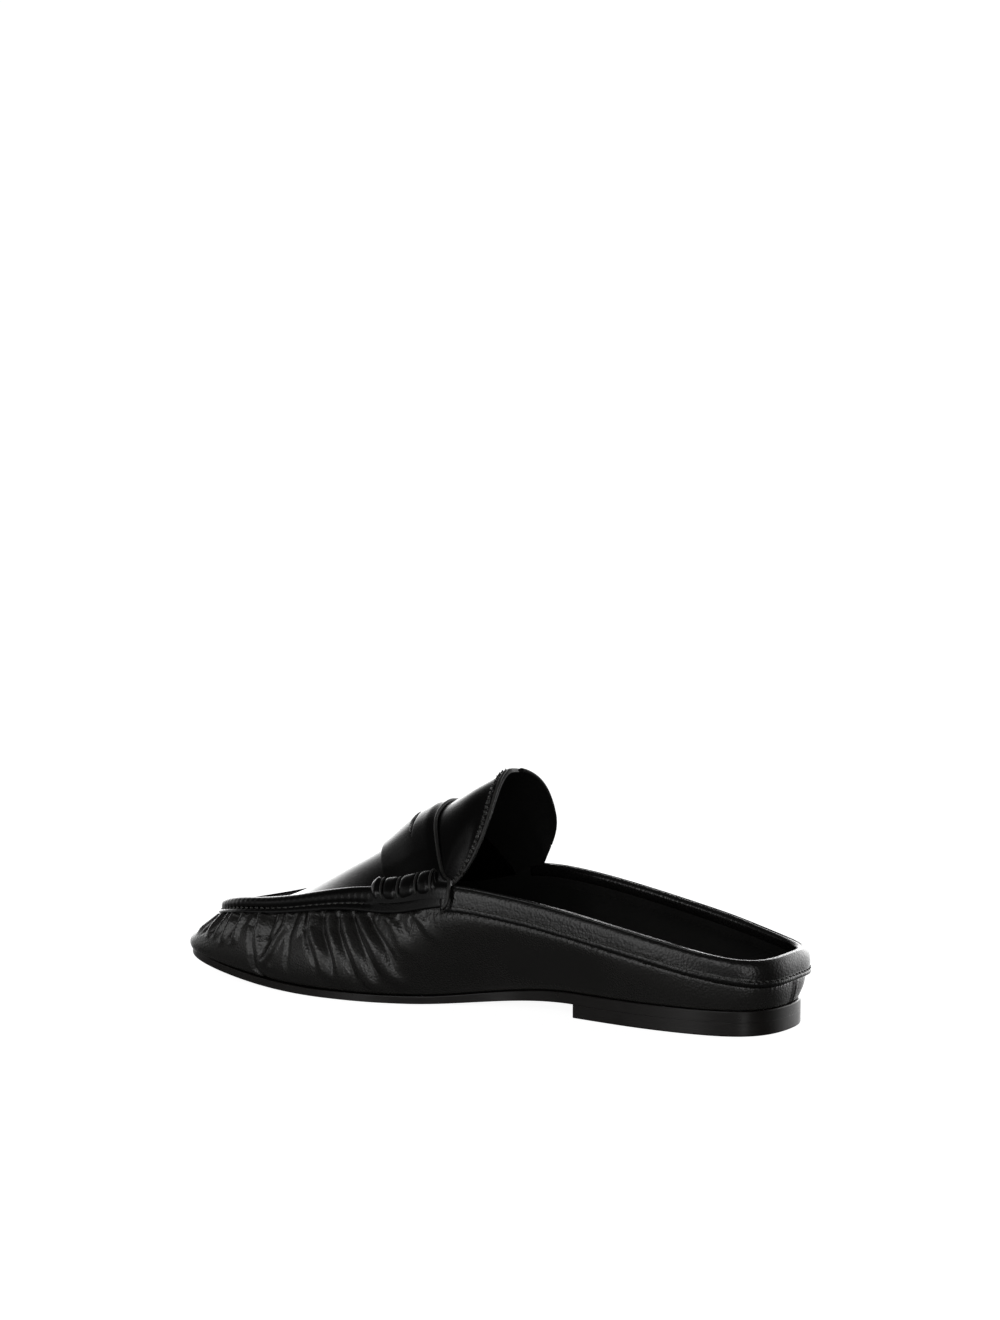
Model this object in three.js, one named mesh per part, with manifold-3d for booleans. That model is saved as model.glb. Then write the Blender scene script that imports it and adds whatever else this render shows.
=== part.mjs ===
// A flat loafer mule for the right foot: a soft moccasin-stitched leather upper that is closed over the
// toes and cut low round the heel, with a saddle strap, a raised tongue, a padded collar band, a thin
// leather outsole and a low stacked heel.
//
// Millimetres. +X points from the heel to the toe, +Y to the inner (medial) side of the foot, +Z up.
// The origin is on the floor, in the middle of the heel's ground face.
//
// The pieces are built on one ring of stations that runs round the shoe: station 0 is the back of the
// heel, the inner side counts up to TOE at the tip of the toe, and the outer side counts on to RING,
// which is the back of the heel again.

import * as THREE from "three";
import { mergeVertices } from "three/addons/utils/BufferGeometryUtils.js";
import Module from "manifold-3d";

const wasm = await Module();
wasm.setup();

// Outsole and heel
const shoeLength = 266; // outsole, from the back of the heel to the tip of the toe
const ballWidth = 82;
const waistWidth = 53;
const heelWidth = 57;
const heelLength = 81;
const heelLift = 5.3; // height of the heel block under the outsole
const soleEdge = 3; // thickness of the outsole from the ball to the toe
const shankEdge = 4.2; // thickness of the outsole from the heel to the waist
const toeSpring = 7;
const flatStart = 150; // the flat spot of the forefoot, from the back of the heel
const flatEnd = 184;
const heelCentre = 39; // from the back of the heel to the origin

// Upper
const wall = 1.6; // leather and lining together
const featherInset = 1; // the upper starts this far inside the edge of the outsole
const fullness = 6; // how far the upper swells out between outsole and seam
const backSeam = 20.5; // floor to the seam under the collar band, at the back
const throatSeam = 40.6; // the same at the throat, where the strap ends
const toeSeam = 22.4; // floor to the moccasin seam at the toe
const edgeHeight = 7; // from the seam to the top edge of the wall
const tongueRise = 44.4; // from the throat to the top of the tongue
const plugThickness = 1.5;
const plugSeat = 1.2; // the middle of the plug's edge lies this far inside the outer face of the wall

// Trims, strap and insole
const fit = 0.3; // gap between pieces that meet
const lipThickness = 1.2;
const bandThickness = 0.9; // collar band at the throat
const bandPadding = 0.9; // what the padding adds at the back of the heel
const edgeRoll = 1.1; // leather over the top edge of the upper
const strapThickness = 1.7;
const slotLength = 27;
const slotWidth = 3;
const insoleThickness = 2.4;

const TOE = 14;
const RING = 2 * TOE;
const SEAM_LEVEL = 1; // levels on the wall: 0 at the outsole, 1 at the seam, 2 at the top edge
const TOP_LEVEL = 2;

// One row for each station from the back of the heel to the toe. Places along are shares of
// shoeLength, widths are shares of the row's own width, heights are shares of the row's own height,
// swell is a share of fullness, edge is a share of edgeHeight, and lean is the inward lean of the top
// edge in radians.
const sections = [
  { width: heelWidth, along: 0.002, medial: 0.0, lateral: 0.0, seamAlong: 0.001, seamMedial: 0.0,
    seamLateral: 0.0, height: backSeam, seamMedialUp: 0.966, seamLateralUp: 0.966,
    edge: 1.2, swell: 0.15, lean: 0.1 },
  { width: heelWidth, along: 0.013, medial: 0.27, lateral: 0.253, seamAlong: 0.01, seamMedial: 0.277,
    seamLateral: 0.274, height: backSeam, seamMedialUp: 0.951, seamLateralUp: 0.951,
    edge: 1.2, swell: 0.15, lean: 0.1 },
  { width: heelWidth, along: 0.059, medial: 0.449, lateral: 0.432, seamAlong: 0.057, seamMedial: 0.456,
    seamLateral: 0.453, height: backSeam, seamMedialUp: 1.068, seamLateralUp: 1.068,
    edge: 1.0, swell: 0.2, lean: 0.08 },
  { width: heelWidth, along: 0.143, medial: 0.5, lateral: 0.491, seamAlong: 0.141, seamMedial: 0.537,
    seamLateral: 0.537, height: throatSeam, seamMedialUp: 0.66, seamLateralUp: 0.66,
    edge: 0.9, swell: 0.3, lean: 0.06 },
  { width: heelWidth, along: 0.233, medial: 0.474, lateral: 0.509, seamAlong: 0.233, seamMedial: 0.565,
    seamLateral: 0.568, height: throatSeam, seamMedialUp: 0.781, seamLateralUp: 0.781,
    edge: 0.9, swell: 0.3, lean: 0.05 },
  { width: waistWidth, along: 0.331, medial: 0.434, lateral: 0.557, seamAlong: 0.331, seamMedial: 0.621,
    seamLateral: 0.63, height: throatSeam, seamMedialUp: 0.899, seamLateralUp: 0.899,
    edge: 0.9, swell: 0.3, lean: 0.05 },
  { width: waistWidth, along: 0.421, medial: 0.406, lateral: 0.594, seamAlong: 0.421, seamMedial: 0.642,
    seamLateral: 0.655, height: throatSeam, seamMedialUp: 0.98, seamLateralUp: 0.975,
    edge: 0.9, swell: 0.4, lean: 0.06 },
  { width: ballWidth, along: 0.508, medial: 0.329, lateral: 0.451, seamAlong: 0.5, seamMedial: 0.435,
    seamLateral: 0.449, height: throatSeam, seamMedialUp: 1.0, seamLateralUp: 0.961,
    edge: 0.93, swell: 0.6, lean: 0.12 },
  { width: ballWidth, along: 0.594, medial: 0.433, lateral: 0.518, seamAlong: 0.571, seamMedial: 0.43,
    seamLateral: 0.441, height: throatSeam, seamMedialUp: 0.901, seamLateralUp: 0.86,
    edge: 1.0, swell: 0.8, lean: 0.2 },
  { width: ballWidth, along: 0.677, medial: 0.47, lateral: 0.53, seamAlong: 0.645, seamMedial: 0.42,
    seamLateral: 0.427, height: throatSeam, seamMedialUp: 0.865, seamLateralUp: 0.81,
    edge: 1.0, swell: 0.95, lean: 0.24 },
  { width: ballWidth, along: 0.767, medial: 0.451, lateral: 0.476, seamAlong: 0.722, seamMedial: 0.409,
    seamLateral: 0.4, height: throatSeam, seamMedialUp: 0.8, seamLateralUp: 0.734,
    edge: 0.95, swell: 1.0, lean: 0.28 },
  { width: ballWidth, along: 0.855, medial: 0.384, lateral: 0.384, seamAlong: 0.801, seamMedial: 0.384,
    seamLateral: 0.34, height: throatSeam, seamMedialUp: 0.719, seamLateralUp: 0.65,
    edge: 0.88, swell: 1.0, lean: 0.34 },
  { width: ballWidth, along: 0.934, medial: 0.287, lateral: 0.256, seamAlong: 0.876, seamMedial: 0.317,
    seamLateral: 0.238, height: toeSeam, seamMedialUp: 1.201, seamLateralUp: 1.022,
    edge: 0.85, swell: 1.0, lean: 0.42 },
  { width: ballWidth, along: 0.981, medial: 0.177, lateral: 0.122, seamAlong: 0.929, seamMedial: 0.195,
    seamLateral: 0.079, height: toeSeam, seamMedialUp: 1.071, seamLateralUp: 0.969,
    edge: 0.88, swell: 1.0, lean: 0.5 },
  { width: ballWidth, along: 1.0, medial: 0.037, lateral: -0.037, seamAlong: 0.945, seamMedial: 0.067,
    seamLateral: -0.067, height: toeSeam, seamMedialUp: 1.0, seamLateralUp: 1.0,
    edge: 0.9, swell: 1.0, lean: 0.52 },
];

// The plug over the toes and the tongue behind it are one dome. One row for each arch: the stations of
// its inner and its outer foot (the outer one counted from the heel as on the inner side), the place of
// its ridge along the shoe as a share of shoeLength, how far the ridge stands over the feet as a share
// of tongueRise, and how peaked each side of the arch is (1 is an ellipse).
const arches = [
  { foot: 13.45, outerFoot: 13.45, along: 0.936, rise: 0.0, peak: 1.0, outerPeak: 1.0 },
  { foot: 12.8, outerFoot: 12.8, along: 0.914, rise: 0.02, peak: 1.1, outerPeak: 1.1 },
  { foot: 12.0, outerFoot: 12.0, along: 0.887, rise: 0.009, peak: 1.5, outerPeak: 1.5 },
  { foot: 11.3, outerFoot: 11.3, along: 0.85, rise: 0.0, peak: 1.7, outerPeak: 1.7 },
  { foot: 10.6, outerFoot: 10.6, along: 0.808, rise: 0.027, peak: 2.0, outerPeak: 1.9 },
  { foot: 9.9, outerFoot: 9.9, along: 0.763, rise: 0.105, peak: 2.2, outerPeak: 2.0 },
  { foot: 9.2, outerFoot: 9.2, along: 0.714, rise: 0.218, peak: 2.3, outerPeak: 2.0 },
  { foot: 8.6, outerFoot: 8.55, along: 0.669, rise: 0.345, peak: 2.4, outerPeak: 2.0 },
  { foot: 8.1, outerFoot: 8.0, along: 0.632, rise: 0.495, peak: 2.4, outerPeak: 2.0 },
  { foot: 7.7, outerFoot: 7.55, along: 0.602, rise: 0.6, peak: 2.3, outerPeak: 1.9 },
  { foot: 7.4, outerFoot: 7.2, along: 0.573, rise: 0.66, peak: 2.2, outerPeak: 1.9 },
  { foot: 7.2, outerFoot: 6.9, along: 0.545, rise: 0.714, peak: 2.2, outerPeak: 1.75 },
  { foot: 7.07, outerFoot: 6.7, along: 0.515, rise: 0.815, peak: 2.5, outerPeak: 1.6 },
  { foot: 6.95, outerFoot: 6.48, along: 0.485, rise: 0.912, peak: 2.8, outerPeak: 1.45 },
  { foot: 6.84, outerFoot: 6.3, along: 0.459, rise: 1.0, peak: 3.1, outerPeak: 1.35 },
];
const footLevel = 1.7; // where the feet of the arches meet the wall
const plugEnd = 9.6; // the plug ends here, counted in rows of the table, under the strap
const tongueStart = plugEnd + 0.06;
const tongueEnd = arches.length - 1;

// The strap, in rows of the arch table over the ridge and in ring stations down at its ends
const strapFrontRow = 7.15;
const strapRearRow = 10.55;
const strapFrontFoot = 8.5;
const strapRearFoot = 6.82;
const strapOuterShift = 0.2; // the outer end sits this much nearer the heel
const strapFootLevel = 1.02;

// Cubic interpolation through equally spaced values
function cubic(a, b, c, d, s) {
  const square = s * s;
  const cube = square * s;
  return 0.5 * (2 * b + (c - a) * s + (2 * a - 5 * b + 4 * c - d) * square + (3 * b - a - 3 * c + d) * cube);
}

// The value at station t of a quantity that each row of sections holds for both sides
function aroundRing(t, medialValue, lateralValue) {
  const knot = (k) => {
    const station = ((k % RING) + RING) % RING;
    return station <= TOE ? medialValue(sections[station]) : lateralValue(sections[RING - station]);
  };
  const k = Math.floor(t);
  return cubic(knot(k - 1), knot(k), knot(k + 1), knot(k + 2), t - k);
}

function same(value) {
  return (t) => aroundRing(t, value, value);
}

function sided(medialValue, lateralValue) {
  return (t) => aroundRing(t, medialValue, lateralValue);
}

const soleAlong = same((row) => row.along * shoeLength - heelCentre);
const soleAcross = sided((row) => row.medial * row.width, (row) => -row.lateral * row.width);
const seamAlong = same((row) => row.seamAlong * shoeLength - heelCentre);
const seamAcross = sided((row) => row.seamMedial * row.width, (row) => -row.seamLateral * row.width);
const seamUp = sided((row) => row.seamMedialUp * row.height, (row) => row.seamLateralUp * row.height);
const swell = same((row) => row.swell * fullness);
const lean = same((row) => row.lean);
const edge = same((row) => row.edge * edgeHeight);

function smooth(share) {
  const s = Math.min(1, Math.max(0, share));
  return s * s * (3 - 2 * s);
}

// Underside of the outsole over the floor: level on the heel, down the shank to the flat spot of the
// forefoot, and up to the toe
function soleUnder(x) {
  const back = x + heelCentre;
  if (back <= heelLength) return heelLift;
  if (back < flatStart) return heelLift * (1 - smooth((back - heelLength) / (flatStart - heelLength)));
  if (back <= flatEnd) return 0;
  return toeSpring * ((back - flatEnd) / (shoeLength - flatEnd)) ** 2;
}

function soleTop(x) {
  const back = x + heelCentre;
  const share = smooth((back - heelLength) / (flatStart - heelLength));
  return soleUnder(x) + shankEdge + (soleEdge - shankEdge) * share;
}

// Outward unit normal of a curve round the shoe, in the floor plane
function outward(along, across, t) {
  const step = 0.01;
  const dx = along(t + step) - along(t - step);
  const dy = across(t + step) - across(t - step);
  return new THREE.Vector3(-dy, dx, 0).normalize();
}

function outlinePoint(t, inset) {
  const n = outward(soleAlong, soleAcross, t);
  return new THREE.Vector2(soleAlong(t) - n.x * inset, soleAcross(t) - n.y * inset);
}

// Outer face of the wall of the upper at station t and level h
function wallPoint(t, h) {
  const foot = outlinePoint(t, featherInset);
  const low = new THREE.Vector3(foot.x, foot.y, soleTop(foot.x) + fit);
  const high = new THREE.Vector3(seamAlong(t), seamAcross(t), seamUp(t));
  const lowOut = outward(soleAlong, soleAcross, t);
  const highOut = outward(seamAlong, seamAcross, t);
  if (h > SEAM_LEVEL) {
    const angle = lean(t);
    const rise = (h - SEAM_LEVEL) * edge(t);
    return high
      .addScaledVector(highOut, -Math.sin(angle) * rise)
      .add(new THREE.Vector3(0, 0, Math.cos(angle) * rise));
  }
  const climb = high.z - low.z;
  const reach = new THREE.Vector3(0, 0, climb * 0.3);
  const lowHandle = low.clone().addScaledVector(lowOut, swell(t)).add(reach);
  const highHandle = high.clone().addScaledVector(highOut, swell(t) * 0.8).sub(reach);
  const rest = 1 - h;
  return low
    .multiplyScalar(rest ** 3)
    .addScaledVector(lowHandle, 3 * rest * rest * h)
    .addScaledVector(highHandle, 3 * rest * h * h)
    .addScaledVector(high, h ** 3);
}

// The wall's outer face moved outward by a distance, inward where it is negative
function wallOffset(t, h, distance) {
  const step = 0.02;
  const along = wallPoint(t + step, h).sub(wallPoint(t - step, h));
  const up = wallPoint(t, h + step).sub(wallPoint(t, Math.max(0, h - step)));
  return wallPoint(t, h).addScaledVector(along.cross(up).normalize(), -distance);
}

// A value between the rows of the arch table
function archValue(row, column) {
  const last = arches.length - 1;
  const at = (k) => {
    if (k < 0) return 2 * arches[0][column] - arches[1][column];
    if (k > last) return 2 * arches[last][column] - arches[last - 1][column];
    return arches[k][column];
  };
  const k = Math.min(last, Math.max(0, Math.floor(row)));
  return cubic(at(k - 1), at(k), at(k + 1), at(k + 2), row - k);
}

// A point of the dome: row in the arch table, angle from the inner foot (0) over the ridge to the
// outer foot (PI), with the feet set into the shoe by inset
function domePoint(row, angle, inset) {
  const inner = wallOffset(archValue(row, "foot"), footLevel, -inset);
  const outer = wallOffset(RING - archValue(row, "outerFoot"), footLevel, -inset);
  const middle = inner.clone().add(outer).multiplyScalar(0.5);
  const half = inner.clone().sub(middle);
  const rise = new THREE.Vector3(
    archValue(row, "along") * shoeLength - heelCentre - middle.x, 0, archValue(row, "rise") * tongueRise);
  const peak = archValue(row, angle < Math.PI / 2 ? "peak" : "outerPeak");
  const up = Math.max(0, Math.sin(angle)) ** peak;
  return middle.addScaledVector(half, Math.cos(angle)).addScaledVector(rise, up);
}

function evenly(from, to, count) {
  return Array.from({ length: count + 1 }, (_, i) => from + ((to - from) * i) / count);
}

// Closed geometry of triangles, with shared corners merged and collapsed triangles left out
function closedGeometry(corners, triangles) {
  const loose = new THREE.BufferGeometry();
  const flat = corners.flatMap((p) => [p.x, p.y, p.z]);
  loose.setAttribute("position", new THREE.Float32BufferAttribute(flat, 3));
  loose.setIndex(triangles.flat());
  const merged = mergeVertices(loose, 1e-3);
  const index = Array.from(merged.index.array);
  const kept = [];
  for (let i = 0; i < index.length; i += 3) {
    const [a, b, c] = index.slice(i, i + 3);
    if (a !== b && b !== c && c !== a) kept.push(a, b, c);
  }
  merged.setIndex(kept);
  return merged;
}

// Joins equal loops of points, one after another, into a closed solid. Each loop goes out along one
// face of the piece and back along the other. A ring has no end caps.
function loft(loops, isRing) {
  const size = loops[0].length;
  const triangles = [];
  const spans = isRing ? loops.length : loops.length - 1;
  for (let i = 0; i < spans; i++) {
    const here = i * size;
    const next = ((i + 1) % loops.length) * size;
    for (let j = 0; j < size; j++) {
      const k = (j + 1) % size;
      triangles.push([here + j, next + j, next + k], [here + j, next + k, here + k]);
    }
  }
  if (!isRing) {
    const last = (loops.length - 1) * size;
    for (let j = 0; j < size / 2 - 1; j++) {
      const [a, b, c, d] = [j, j + 1, size - 2 - j, size - 1 - j];
      triangles.push([a, b, c], [a, c, d]);
      triangles.push([last + c, last + b, last + a], [last + d, last + c, last + a]);
    }
  }
  return outwardFacing(closedGeometry(loops.flat(), triangles));
}

// Turns every triangle round if the solid is inside out
function outwardFacing(geometry) {
  const at = geometry.attributes.position;
  const index = geometry.index.array;
  const [a, b, c] = [new THREE.Vector3(), new THREE.Vector3(), new THREE.Vector3()];
  let volume = 0;
  for (let i = 0; i < index.length; i += 3) {
    a.fromBufferAttribute(at, index[i]);
    b.fromBufferAttribute(at, index[i + 1]);
    c.fromBufferAttribute(at, index[i + 2]);
    volume += a.dot(b.cross(c));
  }
  if (volume < 0) {
    for (let i = 0; i < index.length; i += 3) [index[i], index[i + 1]] = [index[i + 1], index[i]];
  }
  return geometry;
}

// A sheet of leather: a grid of points thickened along its own normals from one offset to another.
// grid[i][j] runs round or along the shoe with i and across the sheet with j.
function sheet(grid, from, to, isRing) {
  const rows = grid.length;
  const columns = grid[0].length;
  const row = (i) => grid[isRing ? (i + rows) % rows : Math.min(rows - 1, Math.max(0, i))];
  const loops = grid.map((line, i) => {
    const shifted = (j, offset) => {
      const along = row(i + 1)[j].clone().sub(row(i - 1)[j]);
      const across = line[Math.min(columns - 1, j + 1)].clone().sub(line[Math.max(0, j - 1)]);
      return line[j].clone().addScaledVector(along.cross(across).normalize(), offset);
    };
    const near = line.map((_, j) => shifted(j, from));
    const far = line.map((_, j) => shifted(j, to)).reverse();
    return [...near, ...far];
  });
  return loft(loops, isRing);
}

function toSolid(geometry) {
  return new wasm.Manifold(new wasm.Mesh({
    numProp: 3,
    vertProperties: new Float32Array(geometry.attributes.position.array),
    triVerts: new Uint32Array(geometry.index.array),
  }));
}

function toGeometry(solid) {
  const mesh = solid.getMesh();
  const geometry = new THREE.BufferGeometry();
  geometry.setAttribute("position", new THREE.BufferAttribute(mesh.vertProperties, 3));
  geometry.setIndex(new THREE.BufferAttribute(mesh.triVerts, 1));
  return geometry;
}

// The inner-side station whose outline point is this far from the back of the heel
function stationAt(back) {
  let [low, high] = [0, TOE];
  for (let i = 0; i < 50; i++) {
    const middle = (low + high) / 2;
    if (soleAlong(middle) + heelCentre < back) low = middle;
    else high = middle;
  }
  return (low + high) / 2;
}

// A flat layer inside the outline, between two heights that depend on the place along the shoe
function layer(stations, inset, under, top) {
  const loops = stations.map((t) => {
    const inner = outlinePoint(t, inset);
    const outer = outlinePoint(RING - t, inset);
    return [
      new THREE.Vector3(inner.x, inner.y, under(inner.x)),
      new THREE.Vector3(inner.x, inner.y, top(inner.x)),
      new THREE.Vector3(outer.x, outer.y, top(outer.x)),
      new THREE.Vector3(outer.x, outer.y, under(outer.x)),
    ];
  });
  return loft(loops, false);
}

const breast = stationAt(heelLength);
const heelStations = evenly(0, breast, 12);
const soleStations = [...heelStations, ...evenly(breast, TOE, 30).slice(1)];

function outsole() {
  return layer(soleStations, 0, soleUnder, soleTop);
}

function heel() {
  return layer(heelStations, 0, () => 0, () => heelLift);
}

function insole() {
  const lift = (x) => soleTop(x) + fit;
  const inset = featherInset + wall + 2 * fit;
  return layer(soleStations, inset, lift, (x) => lift(x) + insoleThickness);
}

const ringStations = evenly(0, RING, 84).slice(0, -1);

// The stations of the wall between two others, so that what lies on the wall bends where it bends
function stationsBetween(from, to) {
  const turns = [...ringStations, ...ringStations.map((t) => t + RING)];
  return [from, ...turns.filter((t) => t > from + 0.05 && t < to - 0.05), to];
}

// The wall that runs round the shoe and the plug over the toes, one hollow shell that is open at the
// collar and underneath
function upper() {
  const levels = [...evenly(0, SEAM_LEVEL, 6), ...evenly(SEAM_LEVEL, TOP_LEVEL, 2).slice(1)];
  const ring = ringStations.map((t) => levels.map((h) => wallPoint(t, h)));
  const side = toSolid(sheet(ring, 0, wall, true));
  const plug = toSolid(dome(0, plugEnd, 13, plugSeat));
  return toGeometry(largestShell(side.add(plug)));
}

// Leaves out the slivers of air that a union can shut in where two faces graze each other
function largestShell(solid) {
  return solid.decompose().reduce((best, shell) => (shell.volume() > best.volume() ? shell : best));
}

function dome(fromRow, toRow, count, inset) {
  const grid = evenly(fromRow, toRow, count).map((row) =>
    evenly(0, Math.PI, 18).map((angle) => domePoint(row, angle, inset)));
  return sheet(grid, -plugThickness / 2, plugThickness / 2, false);
}

function tongue() {
  return dome(tongueStart, tongueEnd, 8, wall + fit + plugThickness / 2);
}

// A trim that caps the top edge of the wall: profile(t) gives [level, offset] corners
function edging(fromStation, toStation, profile) {
  const loops = stationsBetween(fromStation, toStation).map((t) =>
    profile(t).map(([h, offset]) => wallOffset(t, h, offset)));
  return loft(loops, false);
}

const edgeUnder = TOP_LEVEL + (1.1 * fit) / edgeHeight;
const edgeOver = edgeUnder + edgeRoll / edgeHeight;

// Corners of a trim that is thick outside the wall and rolls over its top edge: up the outer face and
// back down the inner one
function trimProfile(thickness, foot, roll) {
  const outer = fit + thickness;
  return [
    [SEAM_LEVEL, fit + foot], [SEAM_LEVEL + 0.3, outer], [SEAM_LEVEL + 0.75, outer],
    [TOP_LEVEL, outer * 0.8], [edgeOver, outer * 0.25], [edgeOver, -roll * 0.7],
    [edgeUnder, -roll], [edgeUnder, fit], [TOP_LEVEL, fit],
    [SEAM_LEVEL + 0.75, fit], [SEAM_LEVEL + 0.3, fit], [SEAM_LEVEL, fit],
  ];
}

const trimJoin = 7; // the lip and the band meet under the strap

function apronSeam() {
  return edging(trimJoin, RING - trimJoin, () => trimProfile(lipThickness, lipThickness * 0.9, wall / 2));
}

function collarBand() {
  const gap = fit / 20; // stations are about 20 mm or more apart
  const padded = (t) => bandThickness + bandPadding * smooth(1 - Math.abs(RING - t) / trimJoin);
  return edging(RING - trimJoin + gap, RING + trimJoin - gap,
    (t) => trimProfile(padded(t), padded(t) * 0.7, wall));
}

// The strap follows the dome over the instep and comes down outside the lip
function strapPoint(share, angle) {
  const down = Math.abs(Math.cos(angle));
  const spread = down ** 2;
  const front = strapFrontRow + 0.15 * spread;
  const rear = strapRearRow + 2.2 * spread;
  return domePoint(front + (rear - front) * share, angle, wall / 2);
}

function strapGrid() {
  const lipOut = 1.6 * fit + lipThickness - plugThickness / 2;
  return evenly(0, 1, 8).map((share) => {
    const station = strapFrontFoot + (strapRearFoot - strapFrontFoot) * share;
    const outer = RING - station + strapOuterShift;
    const foot = (t, h) => wallOffset(t, h, lipOut);
    const over = evenly(Math.PI * 0.15, Math.PI * 0.85, 6).map((angle) => strapPoint(share, angle));
    const line = new THREE.CatmullRomCurve3([
      foot(station, strapFootLevel), foot(station, 1.5), foot(station, 1.98), ...over,
      foot(outer, 1.98), foot(outer, 1.5), foot(outer, strapFootLevel),
    ], false, "centripetal");
    return evenly(0, 1, 28).map((s) => line.getPoint(s));
  });
}

function strap() {
  const inner = plugThickness / 2 + 1.5 * fit;
  const band = toSolid(sheet(strapGrid(), inner, inner + strapThickness, false));
  return toGeometry(band.subtract(slot()));
}

// The cutter for the slot across the middle of the strap, with pointed ends
function slot() {
  const row = (strapFrontRow + strapRearRow) / 2 - 0.2;
  const middle = domePoint(row, Math.PI / 2, wall / 2);
  const slope = domePoint(row + 0.1, Math.PI / 2, wall / 2).sub(middle);
  const outline = new THREE.Shape();
  outline.moveTo(0, -slotLength / 2);
  outline.quadraticCurveTo(slotWidth, 0, 0, slotLength / 2);
  outline.quadraticCurveTo(-slotWidth, 0, 0, -slotLength / 2);
  const depth = 6 * strapThickness;
  const cutter = new THREE.ExtrudeGeometry(outline, { depth, bevelEnabled: false, curveSegments: 6 });
  cutter.translate(0, 0, -depth / 2);
  cutter.rotateY(Math.atan2(-slope.z, slope.x));
  cutter.translate(middle.x, middle.y, middle.z);
  cutter.deleteAttribute("normal");
  cutter.deleteAttribute("uv");
  return toSolid(mergeVertices(cutter, 1e-4));
}

const blackLeather = { color: 0x161514, roughness: 0.42, metalness: 0 };
const lining = { color: 0x0b0b0a, roughness: 0.7, metalness: 0 };
const soleLeather = { color: 0x1a1716, roughness: 0.5, metalness: 0 };

function piece(name, geometry, finish) {
  const mesh = new THREE.Mesh(geometry, new THREE.MeshStandardMaterial(finish));
  mesh.name = name;
  return mesh;
}

const loaferMule = new THREE.Group();
loaferMule.name = "loafer_mule";
loaferMule.add(
  piece("heel", heel(), soleLeather),
  piece("outsole", outsole(), soleLeather),
  piece("insole", insole(), lining),
  piece("upper", upper(), blackLeather),
  piece("tongue", tongue(), blackLeather),
  piece("apron_seam", apronSeam(), blackLeather),
  piece("collar_band", collarBand(), blackLeather),
  piece("strap", strap(), blackLeather),
);

export default loaferMule;
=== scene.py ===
# The looks of the loafer mule: gathered black leather, a stitched moccasin seam, a saddle strap with
# cord-wrapped ends, a bound tongue, a padded collar band and a thin leather sole.
#
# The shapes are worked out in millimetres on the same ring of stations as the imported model: station 0 is
# the back of the heel, the inner side counts up to TOE, and the outer side counts on to RING.

import math

import bmesh
import bpy
import numpy as np
from mathutils import Matrix, Vector


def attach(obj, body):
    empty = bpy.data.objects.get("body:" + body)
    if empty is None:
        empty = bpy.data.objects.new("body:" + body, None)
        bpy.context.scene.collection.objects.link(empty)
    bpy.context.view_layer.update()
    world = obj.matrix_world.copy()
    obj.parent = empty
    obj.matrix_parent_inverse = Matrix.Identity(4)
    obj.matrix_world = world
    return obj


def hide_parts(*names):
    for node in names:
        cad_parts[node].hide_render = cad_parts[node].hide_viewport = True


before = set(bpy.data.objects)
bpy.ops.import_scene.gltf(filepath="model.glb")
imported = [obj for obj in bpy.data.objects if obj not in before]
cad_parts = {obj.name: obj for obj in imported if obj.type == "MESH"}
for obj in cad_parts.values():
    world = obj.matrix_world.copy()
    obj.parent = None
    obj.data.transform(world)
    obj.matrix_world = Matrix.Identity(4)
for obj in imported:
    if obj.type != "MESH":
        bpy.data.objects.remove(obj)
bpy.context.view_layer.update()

MM = 0.001

# Driving sizes, in millimetres
SHOE_LENGTH = 266
BALL_WIDTH = 82
WAIST_WIDTH = 53
HEEL_WIDTH = 57
HEEL_LENGTH = 81
HEEL_LIFT = 5.3
SOLE_EDGE = 3
SHANK_EDGE = 4.2
TOE_SPRING = 7
FLAT_START = 150
FLAT_END = 184
HEEL_CENTRE = 39
WALL = 1.6
FEATHER_INSET = 1
FULLNESS = 6
BACK_SEAM = 20.5
THROAT_SEAM = 40.6
TOE_SEAM = 22.4
EDGE_HEIGHT = 7
TONGUE_RISE = 44.4
PLUG_THICKNESS = 1.5
FIT = 0.3
INSOLE_THICKNESS = 2.4

TOE = 14
RING = 2 * TOE

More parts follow.
